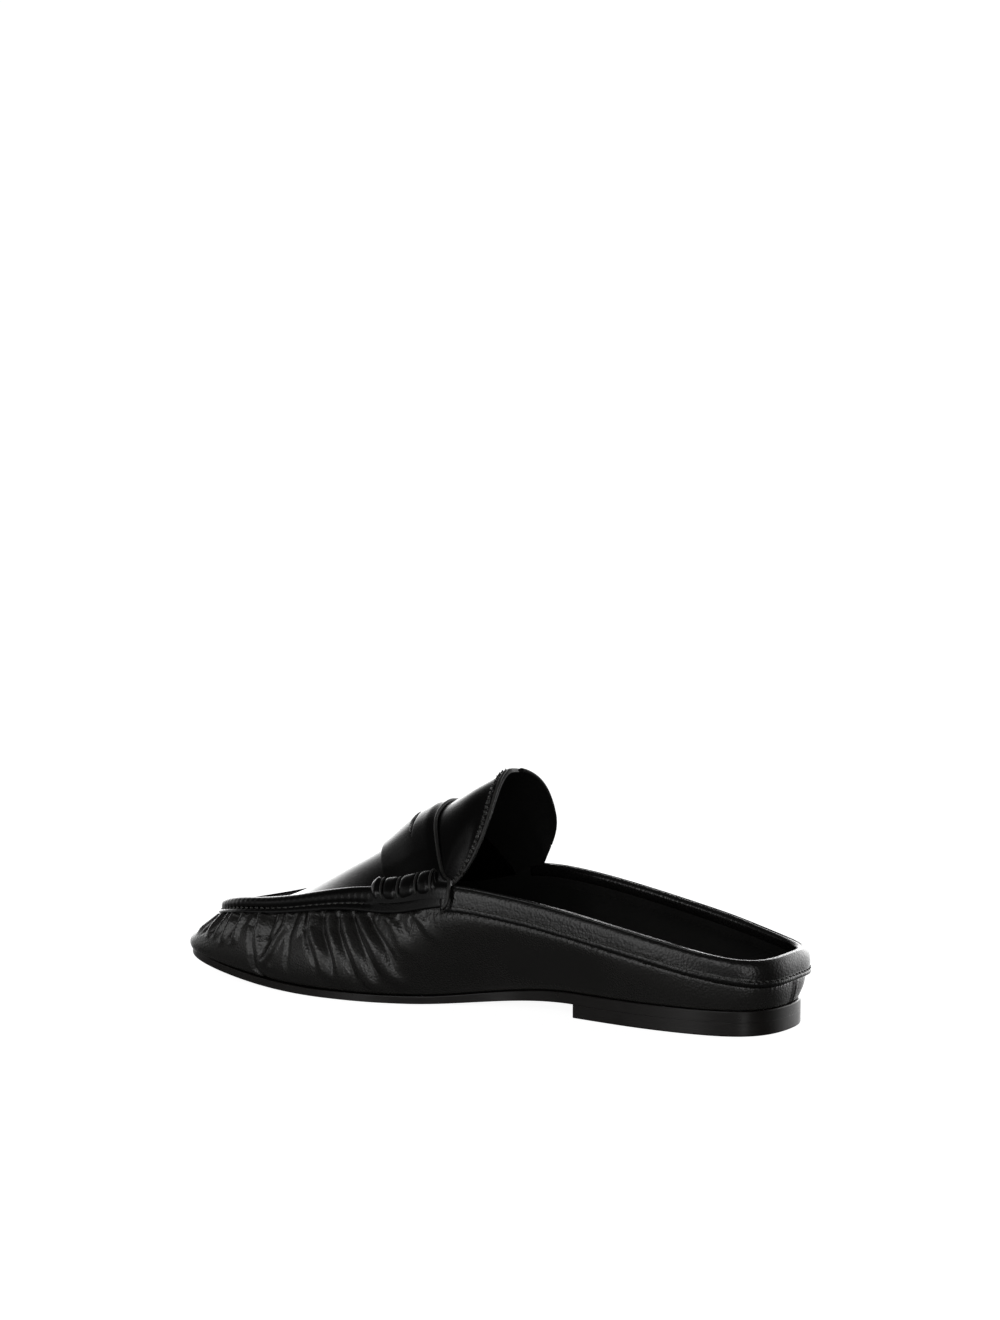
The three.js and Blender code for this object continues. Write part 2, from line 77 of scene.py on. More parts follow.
# width, along, medial, lateral, seam along, seam medial, seam lateral, seam height, medial up, lateral up,
# edge, swell, lean: a row for each station, in shares of the sizes above
SECTIONS = (
    (HEEL_WIDTH, 0.002, 0, 0, 0.001, 0, 0, BACK_SEAM, 0.966, 0.966, 1.2, 0.15, 0.1),
    (HEEL_WIDTH, 0.013, 0.27, 0.253, 0.01, 0.277, 0.274, BACK_SEAM, 0.951, 0.951, 1.2, 0.15, 0.1),
    (HEEL_WIDTH, 0.059, 0.449, 0.432, 0.057, 0.456, 0.453, BACK_SEAM, 1.068, 1.068, 1, 0.2, 0.08),
    (HEEL_WIDTH, 0.143, 0.5, 0.491, 0.141, 0.537, 0.537, THROAT_SEAM, 0.66, 0.66, 0.9, 0.3, 0.06),
    (HEEL_WIDTH, 0.233, 0.474, 0.509, 0.233, 0.565, 0.568, THROAT_SEAM, 0.781, 0.781, 0.9, 0.3, 0.05),
    (WAIST_WIDTH, 0.331, 0.434, 0.557, 0.331, 0.621, 0.63, THROAT_SEAM, 0.899, 0.899, 0.9, 0.3, 0.05),
    (WAIST_WIDTH, 0.421, 0.406, 0.594, 0.421, 0.642, 0.655, THROAT_SEAM, 0.98, 0.975, 0.9, 0.4, 0.06),
    (BALL_WIDTH, 0.508, 0.329, 0.451, 0.5, 0.435, 0.449, THROAT_SEAM, 1, 0.961, 0.93, 0.6, 0.12),
    (BALL_WIDTH, 0.594, 0.433, 0.518, 0.571, 0.43, 0.441, THROAT_SEAM, 0.901, 0.86, 1, 0.8, 0.2),
    (BALL_WIDTH, 0.677, 0.47, 0.53, 0.645, 0.42, 0.427, THROAT_SEAM, 0.865, 0.81, 1, 0.95, 0.24),
    (BALL_WIDTH, 0.767, 0.451, 0.476, 0.722, 0.409, 0.4, THROAT_SEAM, 0.8, 0.734, 0.95, 1, 0.28),
    (BALL_WIDTH, 0.855, 0.384, 0.384, 0.801, 0.384, 0.34, THROAT_SEAM, 0.719, 0.65, 0.88, 1, 0.34),
    (BALL_WIDTH, 0.934, 0.287, 0.256, 0.876, 0.317, 0.238, TOE_SEAM, 1.201, 1.022, 0.85, 1, 0.42),
    (BALL_WIDTH, 0.981, 0.177, 0.122, 0.929, 0.195, 0.079, TOE_SEAM, 1.071, 0.969, 0.88, 1, 0.5),
    (BALL_WIDTH, 1, 0.037, -0.037, 0.945, 0.067, -0.067, TOE_SEAM, 1, 1, 0.9, 1, 0.52),
)

# inner foot, outer foot, along, rise, inner peak, outer peak: a row for each arch of the plug and tongue
ARCHES = (
    (13.45, 13.45, 0.936, 0, 1, 1),
    (12.8, 12.8, 0.914, 0.02, 1.1, 1.1),
    (12, 12, 0.887, 0.009, 1.5, 1.5),
    (11.3, 11.3, 0.85, 0, 1.7, 1.7),
    (10.6, 10.6, 0.808, 0.027, 2, 1.9),
    (9.9, 9.9, 0.763, 0.105, 2.2, 2),
    (9.2, 9.2, 0.714, 0.218, 2.3, 2),
    (8.6, 8.55, 0.669, 0.345, 2.4, 2),
    (8.1, 8, 0.632, 0.495, 2.4, 2),
    (7.7, 7.55, 0.602, 0.6, 2.3, 1.9),
    (7.4, 7.2, 0.573, 0.66, 2.2, 1.9),
    (7.2, 6.9, 0.545, 0.714, 2.2, 1.75),
    (7.07, 6.7, 0.515, 0.815, 2.5, 1.6),
    (6.95, 6.48, 0.485, 0.912, 2.8, 1.45),
    (6.84, 6.3, 0.459, 1, 3.1, 1.35),
)
FOOT_LEVEL = 1.7
PLUG_SEAT = 1.2
PLUG_END = 9.6
TONGUE_START = 9.66
TONGUE_END = len(ARCHES) - 1

STRAP_FRONT_ROW = 7.15
STRAP_REAR_ROW = 10.55
STRAP_FRONT_FOOT = 8.5
STRAP_REAR_FOOT = 6.82
STRAP_OUTER_SHIFT = 0.2
STRAP_THICKNESS = 1.7
LIP_THICKNESS = 1.2
TRIM_JOIN = 7
SLOT_LENGTH = 34
SLOT_SHIFT = 9  # how far the slot's middle lies towards the inner side of the strap's middle
SLOT_WIDTH = 3.8


# Curves through the tables

def smooth(share):
    s = np.clip(share, 0, 1)
    return s * s * (3 - 2 * s)


def bump(distance, width):
    return np.exp(-(distance / width) ** 2)


def between_knots(knots, bend, i, j, s):
    """A cubic from knot i to knot j, from the bends at both."""
    r = 1 - s
    return r * knots[i] + s * knots[j] + (r**3 - r) * bend[i] / 6 + (s**3 - s) * bend[j] / 6


def periodic_curve(knots):
    """A smooth closed curve through equally spaced values."""
    n = len(knots)
    system = 4 * np.eye(n) + np.roll(np.eye(n), 1, axis=1) + np.roll(np.eye(n), -1, axis=1)
    bend = np.linalg.solve(system, 6 * (np.roll(knots, -1) - 2 * knots + np.roll(knots, 1)))

    def at(t):
        k = np.floor(t).astype(int)
        return between_knots(knots, bend, k % n, (k + 1) % n, t - k)

    return at


def open_curve(knots):
    """A smooth open curve through equally spaced values, straight at its ends."""
    n = len(knots)
    system = np.eye(n)
    right = np.zeros(n)
    for i in range(1, n - 1):
        system[i, i - 1 : i + 2] = (1, 4, 1)
        right[i] = 6 * (knots[i + 1] - 2 * knots[i] + knots[i - 1])
    bend = np.linalg.solve(system, right)

    def at(t):
        k = np.clip(np.floor(t), 0, n - 2).astype(int)
        return between_knots(knots, bend, k, k + 1, t - k)

    return at


def both_sides(medial, lateral=None):
    """A curve round both sides; the outer side mirrors the inner one where it has no values of its own."""
    lateral = medial if lateral is None else lateral
    return periodic_curve(np.concatenate([medial, lateral[TOE - 1 : 0 : -1]]))


def section_curves():
    (width, along, medial, lateral, seam_place, seam_medial, seam_lateral, seam_height, medial_up, lateral_up,
     edge, swelling, leaning) = np.array(SECTIONS).T
    return (
        both_sides(along * SHOE_LENGTH - HEEL_CENTRE),
        both_sides(medial * width, -lateral * width),
        both_sides(seam_place * SHOE_LENGTH - HEEL_CENTRE),
        both_sides(seam_medial * width, -seam_lateral * width),
        both_sides(medial_up * seam_height, lateral_up * seam_height),
        both_sides(edge * EDGE_HEIGHT),
        both_sides(swelling * FULLNESS),
        both_sides(leaning),
    )


sole_along, sole_across, seam_along, seam_across, seam_up, edge_height, swell, lean = section_curves()
arch_columns = [open_curve(column) for column in np.array(ARCHES).T]


def sole_under(x):
    back = x + HEEL_CENTRE
    shank = HEEL_LIFT * (1 - smooth((back - HEEL_LENGTH) / (FLAT_START - HEEL_LENGTH)))
    toe = TOE_SPRING * np.clip((back - FLAT_END) / (SHOE_LENGTH - FLAT_END), 0, None) ** 2
    return np.where(back < FLAT_START, shank, toe)


def sole_top(x):
    share = smooth((x + HEEL_CENTRE - HEEL_LENGTH) / (FLAT_START - HEEL_LENGTH))
    return sole_under(x) + SHANK_EDGE + (SOLE_EDGE - SHANK_EDGE) * share


def outward(along, across, t):
    step = 0.01
    dx = along(t + step) - along(t - step)
    dy = across(t + step) - across(t - step)
    length = np.hypot(dx, dy)
    return -dy / length, dx / length


def points(x, y, z):
    return np.stack(np.broadcast_arrays(x, y, z), axis=-1)


def together(*values):
    """Arrays of one shape."""
    return np.broadcast_arrays(*[np.asarray(value, float) for value in values])


def crossed(first, second):
    """Every value of the first with every value of the second, as two grids."""
    return np.meshgrid(first, second, indexing="ij")


def wave(place, pitch, shift=0):
    return np.cos(2 * math.pi * place / pitch + shift)


def unit(v):
    return v / np.maximum(np.linalg.norm(v, axis=-1, keepdims=True), 1e-9)


def run_length(line):
    """Length along a line of points, from its first point to each of them."""
    return np.concatenate([[0], np.cumsum(np.linalg.norm(np.diff(line, axis=0), axis=1))])


def points_at(places, known, line):
    """Points of a line at places among the known ones."""
    return np.stack([np.interp(places, known, column) for column in line.T], axis=-1)


def wall_point(t, h):
    """The outer face of the upper's wall: level 0 at the sole, 1 at the seam, 2 at the top edge."""
    t, h = together(t, h)
    nx, ny = outward(sole_along, sole_across, t)
    mx, my = outward(seam_along, seam_across, t)
    foot_x = sole_along(t) - nx * FEATHER_INSET
    low = points(foot_x, sole_across(t) - ny * FEATHER_INSET, sole_top(foot_x) + FIT)
    high = points(seam_along(t), seam_across(t), seam_up(t))
    low_out = points(nx, ny, 0)
    high_out = points(mx, my, 0)
    climb = ((high - low)[..., 2:3]) * np.array([0, 0, 0.3])
    full = swell(t)[..., None]
    g = np.clip(h, 0, 1)[..., None]
    r = 1 - g
    low_handle = low + low_out * full + climb
    high_handle = high + high_out * full * 0.8 - climb
    face = r**3 * low + 3 * r * r * g * low_handle + 3 * r * g * g * high_handle + g**3 * high
    over = np.clip(h - 1, 0, None) * edge_height(t)
    angle = lean(t)
    return face + points(-mx * np.sin(angle) * over, -my * np.sin(angle) * over, np.cos(angle) * over)


def wall_normal(t, h):
    t, h = together(t, h)
    step = 0.02
    low = np.where(h > 1, np.maximum(h - step, 1), np.maximum(h - step, 0))
    high = np.where(h < 1, np.minimum(h + step, 1), h + step)
    along = wall_point(t + step, h) - wall_point(t - step, h)
    up = wall_point(t, high) - wall_point(t, low)
    return -unit(np.cross(along, up))


def wall_offset(t, h, distance):
    t, h, distance = together(t, h, distance)
    return wall_point(t, h) + wall_normal(t, h) * distance[..., None]


def dome_point(row, angle, inset):
    """The plug and the tongue: angle 0 at the inner foot, over the ridge, to PI at the outer foot."""
    row, angle = together(row, angle)
    foot, outer_foot, along, rise, peak, outer_peak = (column(row) for column in arch_columns)
    inner = wall_offset(foot, FOOT_LEVEL, -inset)
    outer = wall_offset(RING - outer_foot, FOOT_LEVEL, -inset)
    middle = (inner + outer) / 2
    to_ridge = points(along * SHOE_LENGTH - HEEL_CENTRE - middle[..., 0], 0, rise * TONGUE_RISE)
    up = np.clip(np.sin(angle), 0, 1) ** np.where(angle < math.pi / 2, peak, outer_peak)
    return middle + (inner - middle) * np.cos(angle)[..., None] + to_ridge * up[..., None]


# Distances round the seam, in millimetres from the tip of the toe, positive on the inner side

fine_t = np.linspace(0, RING, 5601)
fine_seam = wall_point(fine_t, 1)
fine_length = run_length(fine_seam)
SEAM_LENGTH = fine_length[-1]
TOE_AT = np.interp(TOE, fine_t, fine_length)


def from_toe(t):
    return TOE_AT - np.interp(np.mod(t, RING), fine_t, fine_length)


def from_heel(t):
    """Stations from the back of the heel, on either side."""
    return np.abs(np.mod(t + TOE, RING) - TOE)


def length_at(t):
    """Length of the seam from the back of the heel to a station."""
    return np.interp(t, fine_t, fine_length)


def station_at(length):
    return np.interp(np.mod(length, SEAM_LENGTH), fine_length, fine_t)


def ring_stations(gathered, spacing, plain_spacing):
    """Stations round the whole ring, close together over the gathers and wider behind them."""
    toe = np.arange(gathered, -gathered, -spacing)
    plain_count = int((SEAM_LENGTH - 2 * gathered) / plain_spacing)
    heel = np.linspace(-gathered, gathered - SEAM_LENGTH, plain_count)
    return station_at(TOE_AT - np.concatenate([toe, heel[:-1]]))


# Meshes

def ease(seed, x, y, z):
    """Slow seeded unevenness between about -1 and 1."""
    random = np.random.default_rng(seed)
    total = np.zeros(np.broadcast(x, y, z).shape)
    for _ in range(7):
        wave = random.normal(size=3)
        total = total + np.sin(wave[0] * x + wave[1] * y + wave[2] * z + random.uniform(0, 6.3))
    return total / 3.2


def make_mesh(name, corners, faces, material):
    mesh = bpy.data.meshes.new(name)
    mesh.from_pydata((np.asarray(corners).reshape(-1, 3) * MM).tolist(), [], faces)
    mesh.validate()
    mesh.polygons.foreach_set("use_smooth", [True] * len(mesh.polygons))
    piece = bpy.data.objects.new(name, mesh)
    bpy.context.collection.objects.link(piece)
    piece.data.materials.append(material)
    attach(piece, "root")
    return piece


def grid_faces(rows_count, columns_count, close_rows=False, close_columns=False, first=0):
    i = np.arange(rows_count if close_rows else rows_count - 1)
    j = np.arange(columns_count if close_columns else columns_count - 1)
    i, j = crossed(i, j)
    a = i * columns_count + j
    b = ((i + 1) % rows_count) * columns_count + j
    c = ((i + 1) % rows_count) * columns_count + (j + 1) % columns_count
    d = i * columns_count + (j + 1) % columns_count
    return (np.stack([a, b, c, d], axis=-1).reshape(-1, 4) + first).tolist()


def set_share(piece, name, values):
    layer = piece.data.attributes.new(name, "FLOAT", "POINT")
    layer.data.foreach_set("value", np.asarray(values, dtype=float).ravel())


def outside_out(piece):
    work = bmesh.new()
    work.from_mesh(piece.data)
    bmesh.ops.remove_doubles(work, verts=work.verts, dist=0.01 * MM)
    bmesh.ops.recalc_face_normals(work, faces=work.faces)
    work.to_mesh(piece.data)
    work.free()


def loft(name, loops, material):
    """Closed loops of points, one after another, with a flat cap at each end."""
    count, size = loops.shape[:2]
    faces = grid_faces(count, size, close_columns=True)
    faces.append(list(range(size)))
    faces.append(list(range((count - 1) * size, count * size)))
    piece = make_mesh(name, loops, faces, material)
    outside_out(piece)
    return piece


def sheet_normals(grid):
    along = np.gradient(grid, axis=0)
    across = np.gradient(grid, axis=1)
    return unit(np.cross(along, across))


def round_sheet(name, grid, thickness, edge, material, relief=0):
    """A sheet of leather from its outer face: thickened inwards, with every edge rounded."""
    normal = sheet_normals(grid)
    outer = grid + normal * np.broadcast_to(relief, grid.shape[:2])[..., None]
    inner = grid - normal * thickness
    count, size = grid.shape[:2]
    corners = np.concatenate([outer.reshape(-1, 3), inner.reshape(-1, 3)])
    faces = grid_faces(count, size)
    faces += [face[::-1] for face in grid_faces(count, size, first=count * size)]
    index = np.arange(count * size).reshape(count, size)
    rim = np.concatenate([index[0, :-1], index[:-1, -1], index[-1, :0:-1], index[:0:-1, 0]])
    for a, b in zip(rim, np.roll(rim, -1)):
        faces.append([int(a), int(b), int(b) + count * size, int(a) + count * size])
    piece = make_mesh(name, corners, faces, material)
    outside_out(piece)
    bevel_edges(piece, edge)
    return piece


def bevel_edges(piece, size):
    bevel = piece.modifiers.new("edge", "BEVEL")
    bevel.width = size * MM
    bevel.segments = 3
    bevel.limit_method = "ANGLE"
    bevel.angle_limit = math.radians(50)
    bevel.use_clamp_overlap = True
    apply_modifiers(piece)


def apply_modifiers(piece):
    result = piece.evaluated_get(bpy.context.evaluated_depsgraph_get())
    mesh = bpy.data.meshes.new_from_object(result)
    piece.modifiers.clear()
    piece.data = mesh
    mesh.polygons.foreach_set("use_smooth", [True] * len(mesh.polygons))


# Materials

def feed(tree, socket, value):
    """Links an output to a socket, or sets the socket's own value."""
    if isinstance(value, bpy.types.NodeSocket):
        tree.links.new(value, socket)
    else:
        socket.default_value = value


def node(tree, kind, output, **inputs):
    made = tree.nodes.new(kind)
    for key, value in inputs.items():
        feed(tree, made.inputs[key.replace("_", " ")], value)
    return made.outputs[output]


def object_place(tree):
    return node(tree, "ShaderNodeTexCoord", "Object")


def noise(tree, place, scale, detail=3, roughness=0.5):
    return node(tree, "ShaderNodeTexNoise", "Fac", Vector=place, Scale=scale, Detail=detail,
                Roughness=roughness)


def cells(tree, place, scale):
    return node(tree, "ShaderNodeTexVoronoi", "Distance", Vector=place, Scale=scale)


def stretched(tree, place, *scales):
    return node(tree, "ShaderNodeMapping", "Vector", Vector=place, Scale=scales)


def ranged(tree, value, low, high, to_low, to_high):
    return node(tree, "ShaderNodeMapRange", "Result", Value=value, From_Min=low, From_Max=high,
                To_Min=to_low, To_Max=to_high)


def bumped(tree, height, distance, strength=1, **under):
    """A bump of a given depth in millimetres, over another one where its Normal is given."""
    return node(tree, "ShaderNodeBump", "Normal", Height=height, Distance=distance * MM,
                Strength=strength, **under)


def arithmetic(tree, operation, *values, kind="ShaderNodeMath", output="Value"):
    made = tree.nodes.new(kind)
    made.operation = operation
    for socket, value in zip(made.inputs, values):
        feed(tree, socket, value)
    return made.outputs[output]


def vector_arithmetic(tree, operation, *values, output="Vector"):
    return arithmetic(tree, operation, *values, kind="ShaderNodeVectorMath", output=output)


def share_of(tree, name):
    made = tree.nodes.new("ShaderNodeAttribute")
    made.attribute_name = name
    return made.outputs["Fac"]


def surface(name, colour, roughness, specular, coat=0, coat_roughness=0.2):
    material = bpy.data.materials.new(name)
    material.use_nodes = True
    tree = material.node_tree
    shader = tree.nodes["Principled BSDF"]
    looks = {"Base Color": (*colour, 1), "Roughness": roughness, "Specular IOR Level": specular,
             "Coat Weight": coat, "Coat Roughness": coat_roughness}
    for key, value in looks.items():
        feed(tree, shader.inputs[key], value)
    return material, tree, shader


def vary(tree, shader, place, dark, light, scale):
    """Slow change between two close colours."""
    mix = tree.nodes.new("ShaderNodeMix")
    mix.data_type = "RGBA"
    feed(tree, mix.inputs["A"], (*dark, 1))
    feed(tree, mix.inputs["B"], (*light, 1))
    feed(tree, mix.inputs["Factor"], ranged(tree, noise(tree, place, scale, 4), 0.35, 0.65, 0, 1))
    feed(tree, shader.inputs["Base Color"], mix.outputs["Result"])


def leather(name, dark, light, roughness, specular, grain, depth, pucker=0):
    """Black leather with a pebbled grain; grain, depth and pucker are in millimetres."""
    material, tree, shader = surface(name, dark, roughness, specular)
    place = object_place(tree)
    vary(tree, shader, place, dark, light, 45)
    uneven = ranged(tree, noise(tree, place, 90, 5), 0.3, 0.7, roughness - 0.02, roughness + 0.03)
    feed(tree, shader.inputs["Roughness"], uneven)
    normal = bumped(tree, cells(tree, place, 1000 / grain), depth)
    normal = bumped(tree, noise(tree, place, 420, 4, 0.6), depth * 0.5, 0.7, Normal=normal)
    if pucker:
        wrinkles = noise(tree, stretched(tree, place, 900, 900, 160), 1, 3, 0.55)
        masked = arithmetic(tree, "MULTIPLY", wrinkles, share_of(tree, "pucker"))
        normal = bumped(tree, masked, pucker, Normal=normal)
    feed(tree, shader.inputs["Normal"], normal)
    return material


def streaked(name, dark, light, roughness, specular):
    """Dyed leather edge: fine level streaks from the layers, under a thin polish."""
    material, tree, shader = surface(name, dark, roughness, specular, coat=0.15, coat_roughness=0.25)
    place = object_place(tree)
    vary(tree, shader, place, dark, light, 60)
    streaks = noise(tree, stretched(tree, place, 60, 60, 2600), 1, 4, 0.6)
    normal = bumped(tree, streaks, 0.05, 0.6)
    normal = bumped(tree, noise(tree, place, 700, 3), 0.03, 0.5, Normal=normal)
    feed(tree, shader.inputs["Normal"], normal)
    uneven = ranged(tree, noise(tree, place, 120, 4), 0.3, 0.7, roughness - 0.06, roughness + 0.08)
    feed(tree, shader.inputs["Roughness"], uneven)
    return material


def thread(name, colour):
    material, tree, shader = surface(name, colour, 0.5, 0.5)
    fibres = noise(tree, object_place(tree), 2200, 2)
    feed(tree, shader.inputs["Normal"], bumped(tree, fibres, 0.05, 0.8))
    return material


side_leather = leather("side_leather", (0.0185, 0.018, 0.0168), (0.0225, 0.0218, 0.0205),
                       roughness=0.23, specular=0.6, grain=0.8, depth=0.1, pucker=0.5)
smooth_leather = leather("smooth_leather", (0.0014, 0.0013, 0.0012), (0.0022, 0.0021, 0.002),
                         roughness=0.19, specular=0.42, grain=0.6, depth=0.03)
band_leather = leather("band_leather", (0.006, 0.0058, 0.0054), (0.008, 0.0077, 0.0073),
                       roughness=0.25, specular=0.55, grain=1, depth=0.08, pucker=0.35)
crinkled_leather = leather("crinkled_leather", (0.012, 0.0117, 0.0111), (0.02, 0.0195, 0.0186),
                           roughness=0.22, specular=0.9, grain=1.2, depth=0.5)
lining = leather("lining", (0.009, 0.0088, 0.0083), (0.012, 0.0117, 0.0111),
                 roughness=0.65, specular=0.15, grain=0.6, depth=0.05)
edge_leather = leather("edge_leather", (0.02, 0.0192, 0.018), (0.028, 0.027, 0.0255),
                       roughness=0.42, specular=0.5, grain=0.4, depth=0.03)
sole_leather = streaked("sole_leather", (0.0085, 0.0072, 0.0064), (0.0115, 0.0098, 0.0088),
                        roughness=0.32, specular=0.35)
stitch_thread = thread("stitch_thread", (0.06, 0.059, 0.056))


# The upper: wall, gathers and plug

# Each gather: where it starts under the lip, in millimetres from the tip of the toe, its course from there
# as (level, millimetres), its height, a trough where negative, and its half widths at the lip and at its end
GATHERS = (
    (0, ((0.85, 0.5), (0.6, 1), (0.45, 1.5)), 0.9, 1.4, 2.0),
    (7.5, ((0.85, 8.5), (0.65, 9.5), (0.45, 11.5)), 1.0, 1.4, 2.0),
    (15, ((0.9, 17), (0.7, 19), (0.48, 23.6)), 1.2, 1.5, 2.0),
    (22.5, ((0.93, 23.9), (0.7, 26), (0.5, 28.5)), 1.1, 1.2, 1.6),
    (27, ((0.93, 28.2), (0.7, 31), (0.44, 35.5)), 1.3, 1.3, 1.8),
    (34.5, ((0.95, 35.5), (0.76, 36.6), (0.48, 41.5)), 1.4, 1.5, 2.0),
    (44.5, ((0.95, 46), (0.67, 50), (0.46, 56), (0.28, 61), (0.2, 63)), 1.9, 1.8, 2.4),
    (55, ((0.97, 55.4), (0.81, 56.5), (0.62, 58)), 0.8, 1.2, 1.4),
    (59.5, ((0.95, 60.1), (0.79, 61.5), (0.63, 61.5), (0.42, 62.6), (0.26, 62)), 1.4, 1.6, 1.9),
    (67, ((0.94, 67.6), (0.83, 68.3), (0.7, 69)), 1.0, 1.2, 1.5),
    (72, ((0.93, 72.5), (0.79, 74.3), (0.64, 78.5), (0.51, 83), (0.36, 86.7), (0.16, 91)), 2.0, 1.7, 2.6),
    (80, ((0.92, 80.9), (0.77, 83.3), (0.61, 87.8), (0.47, 91.2), (0.31, 94.5), (0.1, 97.5)), 1.7, 1.5, 2.6),
    (87, ((0.92, 87.8), (0.76, 91.2), (0.59, 95.9), (0.46, 99.9), (0.31, 103.5), (0.08, 108.5)),
     1.9, 1.7, 2.8),
    (93.5, ((0.92, 94.9), (0.78, 98.9), (0.66, 103.2), (0.52, 107.5), (0.36, 111.3), (0.13, 117)),
     1.8, 1.7, 3.2),
    (105.5, ((0.94, 106.8), (0.82, 111.7), (0.68, 115.2), (0.5, 119)), 0.9, 1.6, 2.6),
    (120.5, ((0.9, 121.6), (0.81, 125.2), (0.62, 129.5)), 0.8, 1.3, 2.2),
    (3.8, ((0.85, 4.5), (0.5, 6.5)), -0.8, 0.9, 1.2),
    (11.2, ((0.85, 12.8), (0.5, 17)), -0.9, 0.9, 1.2),
    (19.2, ((0.93, 20.6), (0.6, 24)), -0.9, 0.8, 1.1),
    (25, ((0.93, 26), (0.6, 30)), -0.8, 0.7, 1.0),
    (31, ((0.93, 32), (0.6, 36.5)), -1.0, 1.0, 1.3),
    (40.5, ((0.82, 43), (0.58, 48.3), (0.35, 54.3), (0.1, 58.3), (0, 62.6)), -1.3, 1.3, 1.5),
    (50.5, ((0.95, 51.5), (0.7, 55), (0.55, 58.5)), -1.2, 1.3, 1.3),
    (63, ((0.92, 63.4), (0.69, 65.8), (0.45, 70.4), (0.21, 73.2)), -0.7, 1.0, 1.3),
    (69.6, ((0.9, 70), (0.77, 71.8), (0.59, 76.6), (0.45, 81.2), (0.31, 85.2)), -1.2, 0.8, 1.3),
    (76.3, ((0.93, 76.8), (0.72, 80.7), (0.58, 85.0), (0.42, 90.1), (0.3, 92)), -1.2, 1.0, 1.2),
    (83.6, ((0.92, 84.3), (0.74, 87.6), (0.57, 92.6), (0.41, 97.2), (0.22, 100.9)), -1.1, 0.9, 1.2),
    (90.4, ((0.92, 91.3), (0.76, 95.6), (0.58, 101), (0.41, 105.9), (0.27, 109.2)), -1.1, 0.8, 1.3),
    (98, ((0.93, 99), (0.79, 103.2), (0.66, 108.1), (0.52, 112.3), (0.4, 114.5)), -1.0, 1.0, 1.4),
    (112, ((0.9, 113.5), (0.7, 118)), -0.5, 1.5, 1.8),
)
GATHER_START = 1.33  # the level at which every gather starts
OUTER_SHIFT = 2.5  # the outer side's gathers sit this much nearer the heel
GATHER_FADE = 0.12  # levels over which a gather dies away below its course
GATHER_HEIGHT = 1.5
DEEPEST = -1.7  # the leather is never pressed further in than this, in millimetres


def gather_relief(t, h):
    place = from_toe(t)
    total = np.zeros(np.broadcast(place, h).shape)
    for side in (1, -1):
        for start, course, height, top_half, low_half in GATHERS:
            levels, places = np.array([*course[::-1], (GATHER_START, start)]).T
            centre = side * (np.interp(h, levels, places) + (OUTER_SHIFT if side < 0 else 0))
            share = np.clip((GATHER_START - h) / (GATHER_START - levels[0]), 0, 1)
            half = top_half + (low_half - top_half) * share
            below = smooth((h - levels[0] + GATHER_FADE) / (2 * GATHER_FADE))
            rounded = np.exp(-np.abs((place - centre) / half) ** 2.2)
            total = total + height * (1 - 0.4 * share) * below * rounded
    return GATHER_HEIGHT * total


# Stitch spacings, in millimetres
LIP_STITCH = 3.1
BAND_STITCH = 2.5
TONGUE_STITCH = 2.0

BAND_MIDDLE = 1.5
BAND_PADDING = 0.9  # how much thicker the collar band is at the back of the heel
BAND_OVER = 0.9  # the rim stands this far over the wall's top edge
BAND_DROP = 1.4
RIM_BEAD = 0.3
TOE_FULLNESS = 2.4  # how far the leather swells over the sole's edge at the toe
GATHERS_END = 132  # how far the gathers reach from the tip of the toe, in millimetres


def lip_foot(t):
    """Height of the lip's lower edge over the seam, in millimetres."""
    return np.interp(from_heel(t), (6.6, 7.2, 8.4, 9.4, 11.4, 14), (-0.6, -1.1, -0.9, -0.3, 0.3, -0.5))


def level_at(t, height):
    """The wall's level at a height over the seam, in millimetres."""
    return 1 + np.where(height > 0, height / edge_height(t), height / wall_height(t))


def band_drop(t):
    """How much lower the collar band's foot hangs along the waist, in millimetres."""
    away = from_heel(t)
    return BAND_DROP * smooth((away - 1) / 2) * smooth((8.2 - away) / 1.2)


def band_foot_level(t):
    return 1 - (0.08 * (edge_height(t) + BAND_OVER) + band_drop(t)) / wall_height(t)


def wall_height(t):
    return seam_up(t) - sole_top(sole_along(t))


def lip_extra(t):
    """How much taller the lip grows towards the strap, in millimetres."""
    return np.interp(from_heel(t), (7, 8.6, 9.4, 10.4), (1.6, 1.5, 0.8, 0))


def wall_relief(t, h):
    """How far the leather stands off the plain wall, in millimetres."""
    place = from_toe(t)
    gathered = smooth((GATHERS_END - np.abs(place)) / 14)
    top = level_at(t, lip_foot(t) * gathered + 0.3)
    body = np.clip(h, 0, 1)
    under_lip = smooth((top - h) / 0.05)
    point = wall_point(t, body) / 14
    slack = 0.3 * ease(3, point[..., 0], point[..., 1], point[..., 2]) * np.sin(math.pi * body)
    puckers = 0.16 * wave(place, LIP_STITCH, 1.5 * ease(21, place / 9, h, 0))
    puckers = puckers * bump(top - h, 0.14) * gathered
    toe = TOE_FULLNESS * bump(place, 38) * bump(body - 0.03, 0.22) * smooth(0.4 + body / 0.06)
    from_back = SEAM_LENGTH / 2 - np.abs(place)
    # under the collar band the leather is drawn in and puckered by the stitching
    under_band = (1 - gathered) * bump(h - band_foot_level(t) + 0.1, 0.09)
    drawn = 0.5 + 0.5 * wave(place, BAND_STITCH, 2 * ease(22, place / 6, 2 * h, 0))
    tuck = (1 - gathered) * (0.22 * drawn * under_band - 0.7 * bump(h - band_foot_level(t), 0.045))
    seam = 0.35 * (bump(np.abs(from_back) - 1.1, 0.5) - 1.2 * bump(from_back, 0.35)) * (h < 0.95)
    soft = gather_relief(t, h) + puckers + slack + toe + tuck + seam
    return under_lip * np.maximum(soft, DEEPEST) - 0.25 * (1 - under_lip)


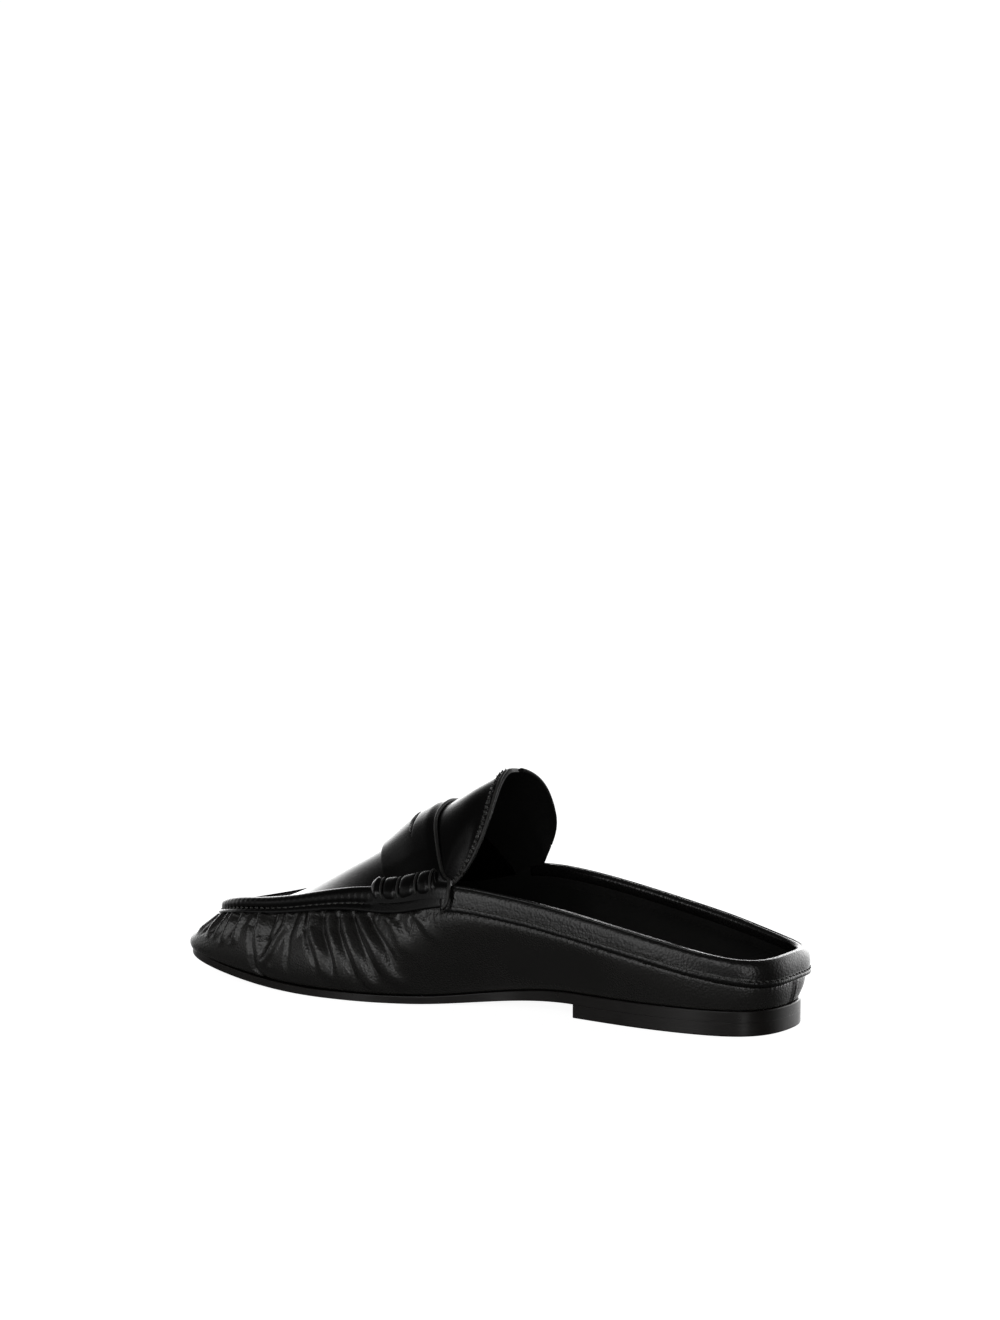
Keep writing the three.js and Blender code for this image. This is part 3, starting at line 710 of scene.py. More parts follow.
def build_wall():
    t = ring_stations(GATHERS_END + 2, 0.5, 0.8)
    outer = np.concatenate([np.linspace(0, 1.45, 68), (1.6, 1.8, 2)])
    inner = np.concatenate([np.linspace(2, 1.06, 5), np.linspace(1, 0.02, 12)])
    tt, hh = crossed(t, outer)
    face = wall_offset(tt, hh, wall_relief(tt, hh))
    ti, hi = crossed(t, inner)
    back = wall_offset(ti, hi, -WALL)
    corners = np.concatenate([face, back], axis=1)
    count, size = corners.shape[:2]
    faces = grid_faces(count, size, close_rows=True, close_columns=True)
    piece = make_mesh("upper_wall", corners, faces, side_leather)
    piece.data.materials.append(lining)
    lined = np.arange(size) >= len(outer) - 1
    piece.data.polygons.foreach_set("material_index", np.tile(lined, count).astype(int).tolist())
    near_band = smooth((np.abs(from_toe(tt)) - 112) / 20) * bump(0.92 - hh, 0.13)
    near_lip = smooth((120 - np.abs(from_toe(tt))) / 20) * bump(1.3 - hh, 0.25) * 0.5
    set_share(piece, "pucker", np.concatenate([near_band + near_lip, np.zeros(ti.shape)], axis=1))
    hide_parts("upper")


PLUG_START = 0.35  # arch row
PLUG_DIP = 1.8  # how much lower the plug lies behind the lip at the toe, in millimetres


def build_plug():
    rows = np.linspace(PLUG_START, PLUG_END, 90)
    row, angle = crossed(rows, np.linspace(0, math.pi, 110))
    grid = dome_point(row, angle, PLUG_SEAT)
    grid = grid + sheet_normals(grid) * (PLUG_THICKNESS / 2)
    grid[..., 2] -= PLUG_DIP * bump(row - 1.3, 1.7) * np.sin(angle)
    piece = round_sheet("plug", grid, PLUG_THICKNESS, 0.2, smooth_leather)
    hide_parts("upper")


# Stitches

def capsule(length, radius, sides=7, rings=6):
    """A short rounded stitch along X, as points and faces."""
    u = np.linspace(0, math.pi, rings)
    v = np.linspace(0, 2 * math.pi, sides, endpoint=False)
    uu, vv = crossed(u, v)
    x = -np.cos(uu) * length / 2
    ring = np.sin(uu) ** 0.6 * radius
    corners = points(x, ring * np.cos(vv), ring * np.sin(vv)).reshape(-1, 3)
    return corners, grid_faces(rings, sides, close_columns=True)


def stitch_row(name, places, directions, normals, material, length, radius):
    """One stitch at each place, laid along its direction."""
    shape, faces = capsule(length, radius)
    corners, all_faces = [], []
    for i, (place, along, up) in enumerate(zip(places, unit(directions), unit(normals))):
        side = np.cross(up, along)
        axes = np.stack([along, side, np.cross(along, side)])
        corners.append(shape @ axes + place)
        all_faces += [[k + i * len(shape) for k in face] for face in faces]
    return make_mesh(name, np.concatenate(corners), all_faces, material)


def along_wall(first, last, spacing):
    """Stations at an even spacing along the seam, between two stations."""
    start = length_at(first)
    count = int((length_at(last) - start) / spacing)
    return station_at(start + (np.arange(count) + 0.5) * spacing)


def ring_row(name, t, h, material, offset, length, radius, tilt):
    """A row of stitches along the wall, each turned a little across the row by its tilt."""
    along = unit(wall_point(t + 0.01, h) - wall_point(t - 0.01, h))
    normals = wall_normal(t, h)
    directions = along + np.cross(along, normals) * tilt
    return stitch_row(name, wall_offset(t, h, offset), directions, normals, material, length, radius)


# The raised lip round the plug

# offset outward in millimetres and height as a share of the lip: the flange, the stitched groove, the roll
LIP_PROFILE = (
    (0, 0.03), (0.6, 0), (1.1, 0.02), (1.35, 0.06), (1.4, 0.14), (1.3, 0.22), (1.1, 0.28), (0.95, 0.33),
    (1.1, 0.39), (1.5, 0.46), (1.85, 0.56), (1.95, 0.69), (1.75, 0.82), (1.2, 0.93), (0.5, 0.99),
    (-0.3, 1), (-0.9, 0.92), (-1.2, 0.8), (-1.1, 0.65), (-0.6, 0.55),
)
LIP_OVER = 1.3  # the roll stands this far over the wall's top edge
OUTER_LIP_RISE = 1.3  # how much taller the roll is on the toe's outer side
TOE_DROP = 1.4  # how much lower the roll is at the tip of the toe
LIP_GROOVE = 0.33  # share of the lip's height
LIP_FLANGE = 1.4  # how far out the flange stands under the cord-wrapped rolls
LIP_STITCHES_START = 8.8  # station


def lip_height(t, share):
    """Height over the seam of a share of the lip, in millimetres."""
    low = lip_foot(t)
    place = from_toe(t)
    high = edge_height(t) + LIP_OVER + lip_extra(t) - TOE_DROP * bump(place, 15)
    high = high + OUTER_LIP_RISE * bump(place + 48, 34)
    return low + (high - low) * share


def build_lip():
    t = along_wall(TRIM_JOIN - 0.25, RING - TRIM_JOIN + 0.25, 0.62)
    offset = np.array([corner[0] for corner in LIP_PROFILE])
    share = np.broadcast_to([corner[1] for corner in LIP_PROFILE], (len(t), len(LIP_PROFILE)))
    tt = np.broadcast_to(t[:, None], share.shape)
    height = lip_height(tt, share)
    place = from_toe(tt)
    pull = 0.5 + 0.5 * wave(place, LIP_STITCH)
    groove = bump(share - LIP_GROOVE, 0.08)
    # under the cord-wrapped roll the lip is a plain flange
    plain = smooth((LIP_STITCHES_START + 0.1 - from_heel(tt)) / 0.4) * (share > 0.1) * (offset > 0.9)
    offset = offset + plain * np.clip(LIP_FLANGE - offset, 0, None)
    groove = groove * (1 - plain)
    out = offset - 0.4 * groove * pull + 0.16 * bump(share - 0.66, 0.16) * (1 - pull) * (offset > 0)
    wobble = 0.25 * ease(5, place / 11, height / 4, 0) * (offset > 0)
    loops = wall_offset(tt, level_at(tt, height), out + wobble)
    piece = loft("apron_lip", loops, smooth_leather)
    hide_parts("apron_seam")
    row = along_wall(LIP_STITCHES_START, RING - LIP_STITCHES_START, LIP_STITCH)
    level = level_at(row, lip_height(row, LIP_GROOVE))
    ring_row("lip_stitches", row, level, stitch_thread, offset=0.95, length=2, radius=0.32, tilt=0.12)


# The padded collar band

# offset outward as a share of the band's thickness, height over the seam as a share of its height
BAND_PROFILE = (
    (0.3, -0.07), (0.8, -0.1), (1.1, -0.07), (1.17, 0), (1.12, 0.08), (1, 0.14), (1.06, 0.22),
    (1.16, 0.4), (1.16, 0.58), (1.08, 0.74), (0.92, 0.88),
)
# offset outward from the shoulder and height over the rim, then how far the beads move each corner
RIM_PROFILE = (
    (0, -0.35, 0, 0), (-0.35, 0, 0.3, 0.6), (-0.75, 0, 0, 1), (-1.15, 0, 0, 0.4), (-1.4, -0.25, 0, -0.9),
    (-1.65, 0, 0, 0.2), (-2, 0, 0, 0.8), (-2.35, 0, 0, 0.4),
)
# offset outward from the wall's inner face and height over the rim
INSIDE_PROFILE = ((-0.55, -0.5), (-0.75, -1.3), (-0.6, -3), (-0.25, -4.2), (0, -4.4))
RIM_SHOULDER = 0.62  # share of the band's thickness
BEADS = (("collar_bead_outer", 0.5), ("collar_bead_inner", 1.75))  # millimetres in from the shoulder
BEAD_PROUD = 0.02
BEAD_SUNK = 0.55  # how far the beads sink in at the back of the heel


def band_thickness(t):
    return BAND_MIDDLE + BAND_PADDING * smooth(1 - from_heel(t) / 4.5)


def band_ends(short):
    """Lengths round the seam of the band's ends, some of a station short of the strap's."""
    return length_at(RING - TRIM_JOIN + short), length_at(TRIM_JOIN - short) + SEAM_LENGTH


def band_stations(spacing):
    start, end = band_ends(0.05)
    return station_at(np.linspace(start, end, int((end - start) / spacing)))


def band_section(t):
    """The band's corners at a station: offset outward and height over the seam, in millimetres."""
    thick = band_thickness(t)
    tall = edge_height(t)
    over = tall + BAND_OVER
    drop = band_drop(t)
    bead = RIM_BEAD * smooth((from_heel(t) - 1.6) / 1.2)
    shoulder = RIM_SHOULDER * thick
    face = [(out * thick, up * over - drop * max(0, 1 - 2 * up)) for out, up in BAND_PROFILE]
    rim = [(shoulder + out + bead * bead_out, over + up + bead * bead_up)
           for out, up, bead_out, bead_up in RIM_PROFILE]
    inside = [(out - WALL, over + up) for out, up in INSIDE_PROFILE]
    return [*face, *rim, *inside, (-0.2, tall + 0.2), (0.2, tall * 0.5)]


def build_band():
    t = band_stations(0.8)
    loops = np.array([band_section(station) for station in t])
    out, high = loops[..., 0], loops[..., 1]
    tall = edge_height(t)[:, None]
    corners = wall_offset(t[:, None], 1 + np.clip(high, 0, None) / tall, out)
    corners[..., 2] += np.minimum(high, 0)
    piece = loft("collar", corners, band_leather)
    set_share(piece, "pucker", bump(high / (tall + BAND_OVER) - 0.05, 0.1) * (out > 0.4))
    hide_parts("collar_band")


def build_rim_beads():
    """Two fine beads along the rim that sink into the padding at the back of the heel."""
    t = band_stations(1.2)
    sunk = BEAD_SUNK * (1 - smooth((from_heel(t) - 1.9) / 1.4))
    over = edge_height(t) + BAND_OVER + BEAD_PROUD - sunk
    for name, inward in BEADS:
        path = wall_offset(t, 1 + over / edge_height(t), RIM_SHOULDER * band_thickness(t) - inward)
        bead = tube(name, path, 0.5, band_leather)
        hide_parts("collar_band")


def build_band_stitches():
    t = station_at(np.arange(*band_ends(0.3), BAND_STITCH))
    rise = 0.14 * (edge_height(t) + BAND_OVER) - band_drop(t) * 0.72
    out = band_thickness(t) * 1.04 + 0.1
    ring_row("collar_stitches", t, level_at(t, rise), stitch_thread, out, length=1.7, radius=0.3, tilt=0.35)
    ring_row("lining_stitches", t, 0.98, lining, -WALL - 0.05, length=1.6, radius=0.2, tilt=0.1)


# The tongue

TONGUE_LIFT = 2.2  # how far it stands up against the strap's inner face, in millimetres
TONGUE_CORNER = 2.9  # arch rows by which the tongue's lower corners are cut forward
TONGUE_BULGE = 1.0  # arch rows by which its inner side bulges back over the strap
TONGUE_FLARE = 5.5  # how far its outer side bulges, in millimetres
TONGUE_POINTS = 433  # across the tongue, from foot to foot
TONGUE_ROUNDING = 0.3
# rows of points near the tongue's edge, in millimetres from it
EDGE_ROWS = (6, 5, 4.3, 3.8, 3.4, 3, 2.7, 2.4, 2.15, 1.95, 1.8, 1.65, 1.45, 1.2, 0.9, 0.6, 0.35, 0.15, 0)
EDGE_STITCHES = 2.7  # distances of the stitches and of the crinkled band from the edge, in millimetres
EDGE_CRINKLES = 3.1
EDGE_FLATTER = 0.4  # how much lower the stitched edge lies over the tongue's ridge
THROAT_MIDDLE = 30  # height of a line that the tongue's lining faces, in millimetres


def tongue_end(angle):
    """Where the tongue ends along the shoe: full at mid height and rounded off towards both feet."""
    corners = bump(angle, 0.4) + 0.9 * bump(math.pi - angle, 0.42)
    sides = bump(angle - 0.85, 0.48) + 0.4 * bump(math.pi - 1.0 - angle, 0.4)
    return TONGUE_END + TONGUE_BULGE * sides - TONGUE_CORNER * corners


def tongue_point(row, angle):
    lift = TONGUE_LIFT * (1 - smooth((row - 12.2) / 1.8))
    base = dome_point(row, angle, WALL + FIT + PLUG_THICKNESS / 2 - lift)
    rear = smooth((row - 12.4) / 1.6)
    out = TONGUE_FLARE * bump(math.pi - angle - 0.44, 0.36) * rear
    return base + points(0 * out, -out, 0.15 * out)


def tongue_relief(from_edge, place):
    """The rolled edge, the groove and the crinkled band, by distances in from the edge and along it."""
    bead = 0.45 * np.sqrt(np.clip(1 - ((from_edge - 0.85) / 0.85) ** 2, 0, 1))
    groove = -0.35 * bump(from_edge - 1.85, 0.22)
    crinkle = 0.5 + 0.5 * wave(place, TONGUE_STITCH, 1.2 * ease(9, place / 5, 0, 0))
    return bead + groove + (0.1 + 0.2 * crinkle) * bump(from_edge - 3, 0.75)


def build_tongue():
    angle = np.linspace(0, math.pi, TONGUE_POINTS)
    last_row = tongue_end(angle)
    last = tongue_point(last_row, angle)
    row_lengths = np.linalg.norm(last - tongue_point(last_row - 1, angle), axis=1)
    per_row = row_lengths[TONGUE_POINTS // 2]
    near = last_row - np.array(EDGE_ROWS)[:, None] / per_row
    front = TONGUE_START + (near[0] - TONGUE_START) * np.linspace(0, 1, 40)[:-1, None]
    row = np.concatenate([front, near])
    grid = tongue_point(row, angle)
    grid = grid + sheet_normals(grid) * (PLUG_THICKNESS / 2)
    relief = tongue_relief((last_row - row) * per_row, run_length(last))
    piece = round_sheet("tongue_leather", grid, PLUG_THICKNESS, TONGUE_ROUNDING, smooth_leather, relief)
    line_inner_face(piece)
    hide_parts("tongue")
    build_tongue_bindings(grid[-1], sheet_normals(grid)[-1])
    fine = np.linspace(0.03, math.pi - 0.03, 900)
    span = run_length(tongue_point(tongue_end(fine) - EDGE_STITCHES / per_row, fine))
    build_tongue_crinkles(fine, span, per_row)
    build_tongue_stitches(np.interp(np.arange(2, span[-1] - 2, TONGUE_STITCH), span, fine), per_row)


def line_inner_face(piece):
    piece.data.materials.append(lining)
    inner_face = []
    for polygon in piece.data.polygons:
        inward = Vector((polygon.center.x, 0, THROAT_MIDDLE * MM)) - polygon.center
        inner_face.append(int(polygon.normal.dot(inward) > 0))
    piece.data.polygons.foreach_set("material_index", inner_face)


def build_tongue_bindings(edge, outside):
    """The bound edge: cut leather on the inner side, and the turned lining on the outer one."""
    line = resample((edge + outside * 0.35)[::9], 200)
    rim = tube("tongue_binding", line[:95], 0.6, edge_leather, 12)
    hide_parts("tongue")
    far_line = resample((edge - outside * 0.55)[::9], 200)
    far_rim = tube("tongue_binding_outer", far_line[104:], 1, lining, 12)
    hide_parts("tongue")


def tongue_frame(row, angle):
    """Directions on the tongue: along its edge, towards the toe, and outward."""
    along = tongue_point(row, angle + 0.01) - tongue_point(row, angle - 0.01)
    forward = tongue_point(row - 0.05, angle) - tongue_point(row + 0.05, angle)
    return along, forward, unit(np.cross(along, forward))


def over_ridge(angle):
    return EDGE_FLATTER * bump(angle - math.pi / 2, 0.75)


def build_tongue_crinkles(angle, span, per_row):
    row = tongue_end(angle) - EDGE_CRINKLES / per_row
    up = tongue_frame(row, angle)[2]
    knots = 0.22 * wave(span, TONGUE_STITCH) + 0.15 * ease(31, span / 1.3, 0, 0)
    proud = knots - 0.6 - over_ridge(angle)
    path = tongue_point(row, angle) + up * (PLUG_THICKNESS + proud[:, None])
    crinkles = tube("tongue_crinkles", path, 0.95, crinkled_leather, 12)
    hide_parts("tongue")


def build_tongue_stitches(angle, per_row):
    row = tongue_end(angle) - EDGE_STITCHES / per_row
    along, forward, up = tongue_frame(row, angle)
    proud = 0.57 - over_ridge(angle)
    places = tongue_point(row, angle) + up * (PLUG_THICKNESS + proud[:, None])
    slanted = unit(along) + 0.9 * unit(forward)
    stitches = stitch_row("tongue_stitches", places, slanted, up, stitch_thread, length=1.8, radius=0.32)
    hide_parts("tongue")


# The saddle strap

STRAP_FRONT_SHIFT = 0.3  # arch rows by which the front edge lies further back
STRAP_REAR_SUNK = 1.1  # how far the rear edge is drawn in towards the tongue, in millimetres
STRAP_REAR_SHIFT = 0.08  # stations by which the rear edge comes down behind the roll
STRAP_FOOT_LEVELS = (1.45, 1.7, 1.98)
STRAP_LINES = 41  # from the front edge to the rear one
STRAP_POINTS = 221  # along each line
STRAP_ROUNDING = 0.45
SLOT_SHARE = 0.53  # where the slot lies between the front edge and the rear one
# how the cord of the rear edge runs on down behind the rolls, from the strap's inner and outer end
CORD_DOWN = ((1.9, 1.4, -5.4), (0.6, 1.5, -5.0), (-0.3, 1.4, -3.7), (-0.2, 0.9, -1.9))
OUTER_CORD_DOWN = ((0.3, -0.2, -1.2), (1.2, -0.5, -2.4), (2.6, -0.9, -3.4))
CORD_SUNK = 0.25


def strap_line(share, count):
    """One line across the strap, from the inner end over the instep to the outer end."""
    station = STRAP_FRONT_FOOT + (STRAP_REAR_FOOT - STRAP_REAR_SHIFT - STRAP_FRONT_FOOT) * share
    outer = RING - station + STRAP_OUTER_SHIFT - 0.5 * share
    lip_out = 1.6 * FIT + LIP_THICKNESS - PLUG_THICKNESS / 2
    angle = np.linspace(math.pi * 0.15, math.pi * 0.85, 7)
    spread = np.cos(angle) ** 4
    front = STRAP_FRONT_ROW + STRAP_FRONT_SHIFT + 0.15 * spread
    rear = STRAP_REAR_ROW + 3.2 * spread
    over = dome_point(front + (rear - front) * share, angle, WALL / 2)
    feet = [wall_offset(station, level, lip_out) for level in STRAP_FOOT_LEVELS]
    far_feet = [wall_offset(outer, level, lip_out) for level in STRAP_FOOT_LEVELS[::-1]]
    return resample(np.array([*feet, *over, *far_feet]), count)


def resample(line, count):
    """A centripetal curve through the points, with its points spaced evenly."""
    ends = np.array([2 * line[0] - line[1], *line, 2 * line[-1] - line[-2]])
    fine = []
    for i in range(1, len(ends) - 2):
        p = ends[i - 1 : i + 3]
        steps = np.sqrt(np.linalg.norm(np.diff(p, axis=0), axis=1))
        knots = np.concatenate([[0], np.cumsum(steps)])
        for u in np.linspace(knots[1], knots[2], 24, endpoint=False):
            a = [lerp(p[k], p[k + 1], knots[k], knots[k + 1], u) for k in range(3)]
            b = [lerp(a[k], a[k + 1], knots[k], knots[k + 2], u) for k in range(2)]
            fine.append(lerp(b[0], b[1], knots[1], knots[2], u))
    fine = np.array([*fine, line[-1]])
    length = run_length(fine)
    return points_at(np.linspace(0, length[-1], count), length, fine)


def lerp(a, b, from_u, to_u, u):
    return a + (b - a) * (u - from_u) / (to_u - from_u)


def strap_grid(shares):
    """Points of the strap's outer face, a line for each share of the way from its front edge."""
    grid = np.array([strap_line(share, STRAP_POINTS) for share in shares])
    around = np.linspace(0, 1, STRAP_POINTS)
    rear = smooth((shares[:, None] - 0.8) / 0.2)
    sunk = STRAP_REAR_SUNK * rear * smooth(around / 0.12) * smooth((0.72 - around) / 0.2)
    lift = PLUG_THICKNESS / 2 + 1.5 * FIT + STRAP_THICKNESS
    return grid + sheet_normals(grid) * (lift - sunk)[..., None]


def open_slot(grid, shares):
    """Draws the two lines at the slot apart along the instep, and gives the number of the first one."""
    slot_line = round(SLOT_SHARE * (STRAP_LINES - 1))
    middle = STRAP_POINTS // 2
    strap_width = np.linalg.norm(grid[-1, middle] - grid[0, middle])
    distance = run_length(grid[slot_line])
    distance = distance - distance[middle] + SLOT_SHIFT
    half_open = SLOT_WIDTH / 2 / strap_width * np.clip(1 - (2 * distance / SLOT_LENGTH) ** 2, 0, None)
    slotted = []
    for j, half in enumerate(half_open):
        front = np.linspace(0, shares[slot_line] - half, slot_line + 1)
        rear = np.linspace(shares[slot_line] + half, 1, STRAP_LINES - slot_line)
        places = np.concatenate([front, rear])
        slotted.append(points_at(places, shares, grid[:, j]))
    return np.array(slotted), slot_line


def build_strap():
    shares = np.linspace(0, 1, STRAP_LINES)
    outer, slot_line = open_slot(strap_grid(shares), shares)
    count, lines = outer.shape[:2]
    faces = [face for face in grid_faces(count, lines) if face[0] % lines != slot_line]
    piece = make_mesh("saddle_strap", outer, faces, smooth_leather)
    outside_out(piece)
    thicken(piece, STRAP_THICKNESS)
    bevel_edges(piece, STRAP_ROUNDING)
    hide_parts("strap")
    rear_edge = outer[:, -1]
    path = np.concatenate([rear_edge[0] + CORD_DOWN, rear_edge, rear_edge[-1] + OUTER_CORD_DOWN])
    path = path - (0, 0, CORD_SUNK)
    cord = tube("strap_edge", resample(path[::4], 160), 0.8, edge_leather, 12)
    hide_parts("strap")


def thicken(piece, thickness):
    """Adds the inner face of a sheet whose outer face is modelled, whichever way it is turned."""
    centre = sum((vertex.co for vertex in piece.data.vertices), Vector()) / len(piece.data.vertices)
    facing = sum(polygon.normal.dot(polygon.center - centre) for polygon in piece.data.polygons)
    solid = piece.modifiers.new("thickness", "SOLIDIFY")
    solid.thickness = thickness * MM
    solid.offset = -1 if facing > 0 else 1
    apply_modifiers(piece)


# The cord-wrapped rolls at the ends of the strap

WRAPS = (8.36, 7.95, 7.5, 7.14)  # stations of the wraps, from the front
ROLL_FRONT = 8.62
ROLL_REAR = 7.04
OUTER_ROLL_REAR = 7.32
ROLL_SLANT = 0.06  # stations by which the top of the roll leans towards the toe


def roll_shape(t):
    """Centre height over the seam, half height and half depth of the roll, in millimetres."""
    share = (ROLL_FRONT - t) / (ROLL_FRONT - ROLL_REAR)
    return 8.3 + 0.9 * share, 5.0 + 0.7 * share, 2.6 + 0.5 * share


def roll_point(t, side, angle, grow):
    """A point of the roll round the strap's end, angle 0 outward and a quarter turn up."""
    centre, half_height, depth = roll_shape(t)
    if side < 0:
        half_height = half_height * 0.85
    t = t + ROLL_SLANT * np.sin(angle)
    station = t if side > 0 else RING - t + STRAP_OUTER_SHIFT
    up = centre + half_height * grow * np.sin(angle)
    out = 1.9 + depth * grow * np.cos(angle) - 0.3 * np.clip(up - 7, 0, None)
    return wall_offset(station, 1 + up / edge_height(station), out)


def wrap_pinch(t):
    return np.max([bump(t - place, 0.07) for place in WRAPS], axis=0)


def build_rolls():
    ends = ((1, "inner", ROLL_REAR, WRAPS), (-1, "outer", OUTER_ROLL_REAR, WRAPS[:3]))
    for side, name, rear, wraps in ends:
        t = np.linspace(ROLL_FRONT, rear, 110)
        angle = np.linspace(0, 2 * math.pi, 44, endpoint=False)
        tt, aa = crossed(t, angle)
        rounded = np.clip(np.minimum((ROLL_FRONT - tt) / 0.12, (tt - rear) / 0.08), 0, 1) ** 0.5
        grow = (1 - 0.26 * wrap_pinch(tt)) * (0.35 + 0.65 * rounded)
        fold = 0.05 * ease(11 + side, tt * 9, aa * 1.3, 0)
        piece = loft(f"roll_{name}", roll_point(tt, side, aa, grow + fold), smooth_leather)
        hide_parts("strap")
        turn = np.linspace(-0.6 * math.pi, 0.75 * math.pi, 40)
        for number, wrap in enumerate(wraps, 1):
            path = roll_point(np.full(turn.shape, wrap), side, turn, 0.88)
            cord = tube(f"wrap_{name}_{number}", path, 0.5, edge_leather)
            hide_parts("strap")


def tube(name, path, radius, material, sides=10):
    """A round cord along a path, with its ends drawn in."""
    tangent = unit(np.gradient(path, axis=0))
    side = unit(np.cross(tangent, np.roll(tangent, 3, axis=0) + (0.01, 0.02, 0.03)))
    up = np.cross(tangent, side)
    angle = np.linspace(0, 2 * math.pi, sides, endpoint=False)[None, :, None]
    from_end = np.minimum(np.arange(len(path)), np.arange(len(path))[::-1])
    taper = np.clip(from_end / 2, 0.3, 1)[:, None, None]
    ring = np.cos(angle) * side[:, None] + np.sin(angle) * up[:, None]
    return loft(name, path[:, None] + ring * radius * taper, material)


# Insole, outsole and heel

TOE_WELT = 1.2  # how far the sole stands out at the tip of the toe, in millimetres
CAP_POINTS = 9  # across each flat face of a slab


def outline_point(t, inset):
    nx, ny = outward(sole_along, sole_across, t)
    inset = inset - TOE_WELT * bump(from_toe(t), 34)
    return np.column_stack([sole_along(t) - nx * inset, sole_across(t) - ny * inset])


def slab(name, stations, inset, bottom, top, low_round, high_round, material):
    """A layer inside the outline, with rounded edges, from stations on the inner side and their mirrors."""
    side = ((low_round, 0, 0), (low_round * 0.3, 0, low_round * 0.3), (0, 0, low_round),
            (0, 1, -high_round), (high_round * 0.3, 1, -high_round * 0.3), (high_round, 1, 0))
    loops = []
    for extra, share, lift in side:
        medial = outline_point(stations, inset + extra)
        lateral = outline_point(RING - stations, inset + extra)
        plan = np.concatenate([medial, lateral[::-1]])
        low, high = bottom(plan[:, 0]), top(plan[:, 0])
        loops.append(np.column_stack([plan, low + (high - low) * share + lift]))
    count, size = len(loops), len(loops[0])
    half = size // 2
    corners = [*loops]
    faces = grid_faces(count, size, close_columns=True)
    across = np.linspace(0, 1, CAP_POINTS)[None, :, None]
    for number, loop in enumerate((loops[0], loops[-1])):
        cap = loop[:half, None] * (1 - across) + loop[:half - 1:-1, None] * across
        corners.append(cap.reshape(-1, 3))
        faces += grid_faces(half, CAP_POINTS, first=count * size + number * half * CAP_POINTS)
    piece = make_mesh(name, np.concatenate(corners), faces, material)
    outside_out(piece)
    piece.data.set_sharp_from_angle(angle=math.radians(13))
    return piece


def breast_station():
    t = np.linspace(0, TOE, 4001)
    return float(t[np.argmin(np.abs(sole_along(t) + HEEL_CENTRE - HEEL_LENGTH))])


def ground(x):
    return 0 * x


def heel_top(x):
    return 0 * x + HEEL_LIFT - 0.02


def footbed_under(x):
    return sole_top(x) + FIT


def footbed_top(x):
    return footbed_under(x) + INSOLE_THICKNESS


def build_sole():
    breast = breast_station()
    heel_t = np.linspace(0, breast, 60)
    whole_t = np.concatenate([heel_t, np.linspace(breast, TOE, 220)[1:]])
    heel = slab("heel_block", heel_t, 0, ground, heel_top, 0.5, 0.1, sole_leather)
    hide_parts("heel")
    outsole = slab("outsole_leather", whole_t, 0, sole_under, sole_top, 0.05, 0.35, sole_leather)
    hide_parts("outsole")
    inset = FEATHER_INSET + WALL + 0.9
    cover = slab("footbed", whole_t, inset, footbed_under, footbed_top, 0.5, 0.5, lining)
    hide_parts("insole")


# Light, floor and camera

# Directions, widths along x, y and z, and strength of each soft light round the shoe: the far side, the
# low front of the studio, two tall boxes beside the camera, one over it, and two faint ones at the toe
LIGHTS_ROUND = (
    ((0.35, -0.93, 0.2), (1.0, 0.38, 0.36), 5.0),
    ((0.0, 1.0, 0.0), (1.2, 0.6, 0.32), 0.32),
    ((0.29, 0.93, 0.2), (0.1, 0.3, 0.34), 2.6),
    ((-0.72, 0.68, 0.2), (0.09, 0.12, 0.35), 3.0),
    ((-0.15, 0.88, 0.42), (0.3, 0.3, 0.14), 2.4),
    ((0.85, 0.5, 0.15), (0.2, 0.22, 0.2), 0.3),
    ((0.97, -0.1, 0.12), (0.12, 0.12, 0.2), 1.0),
)
ROUND_LEVEL = 0.04
BACKGROUND = 1.03
FLOOR_GLOW = 0.94
FLOOR_REACH = 30  # metres


def soft_light(tree, direction, axis, widths, strength):
    """A light that fades out evenly round one direction."""
    off = vector_arithmetic(tree, "SUBTRACT", direction, Vector(axis).normalized())
    shaped = vector_arithmetic(tree, "DIVIDE", off, widths)
    squared = vector_arithmetic(tree, "DOT_PRODUCT", shaped, shaped, output="Value")
    fall = arithmetic(tree, "POWER", math.e, arithmetic(tree, "MULTIPLY", squared, -1))
    return arithmetic(tree, "MULTIPLY", fall, strength)


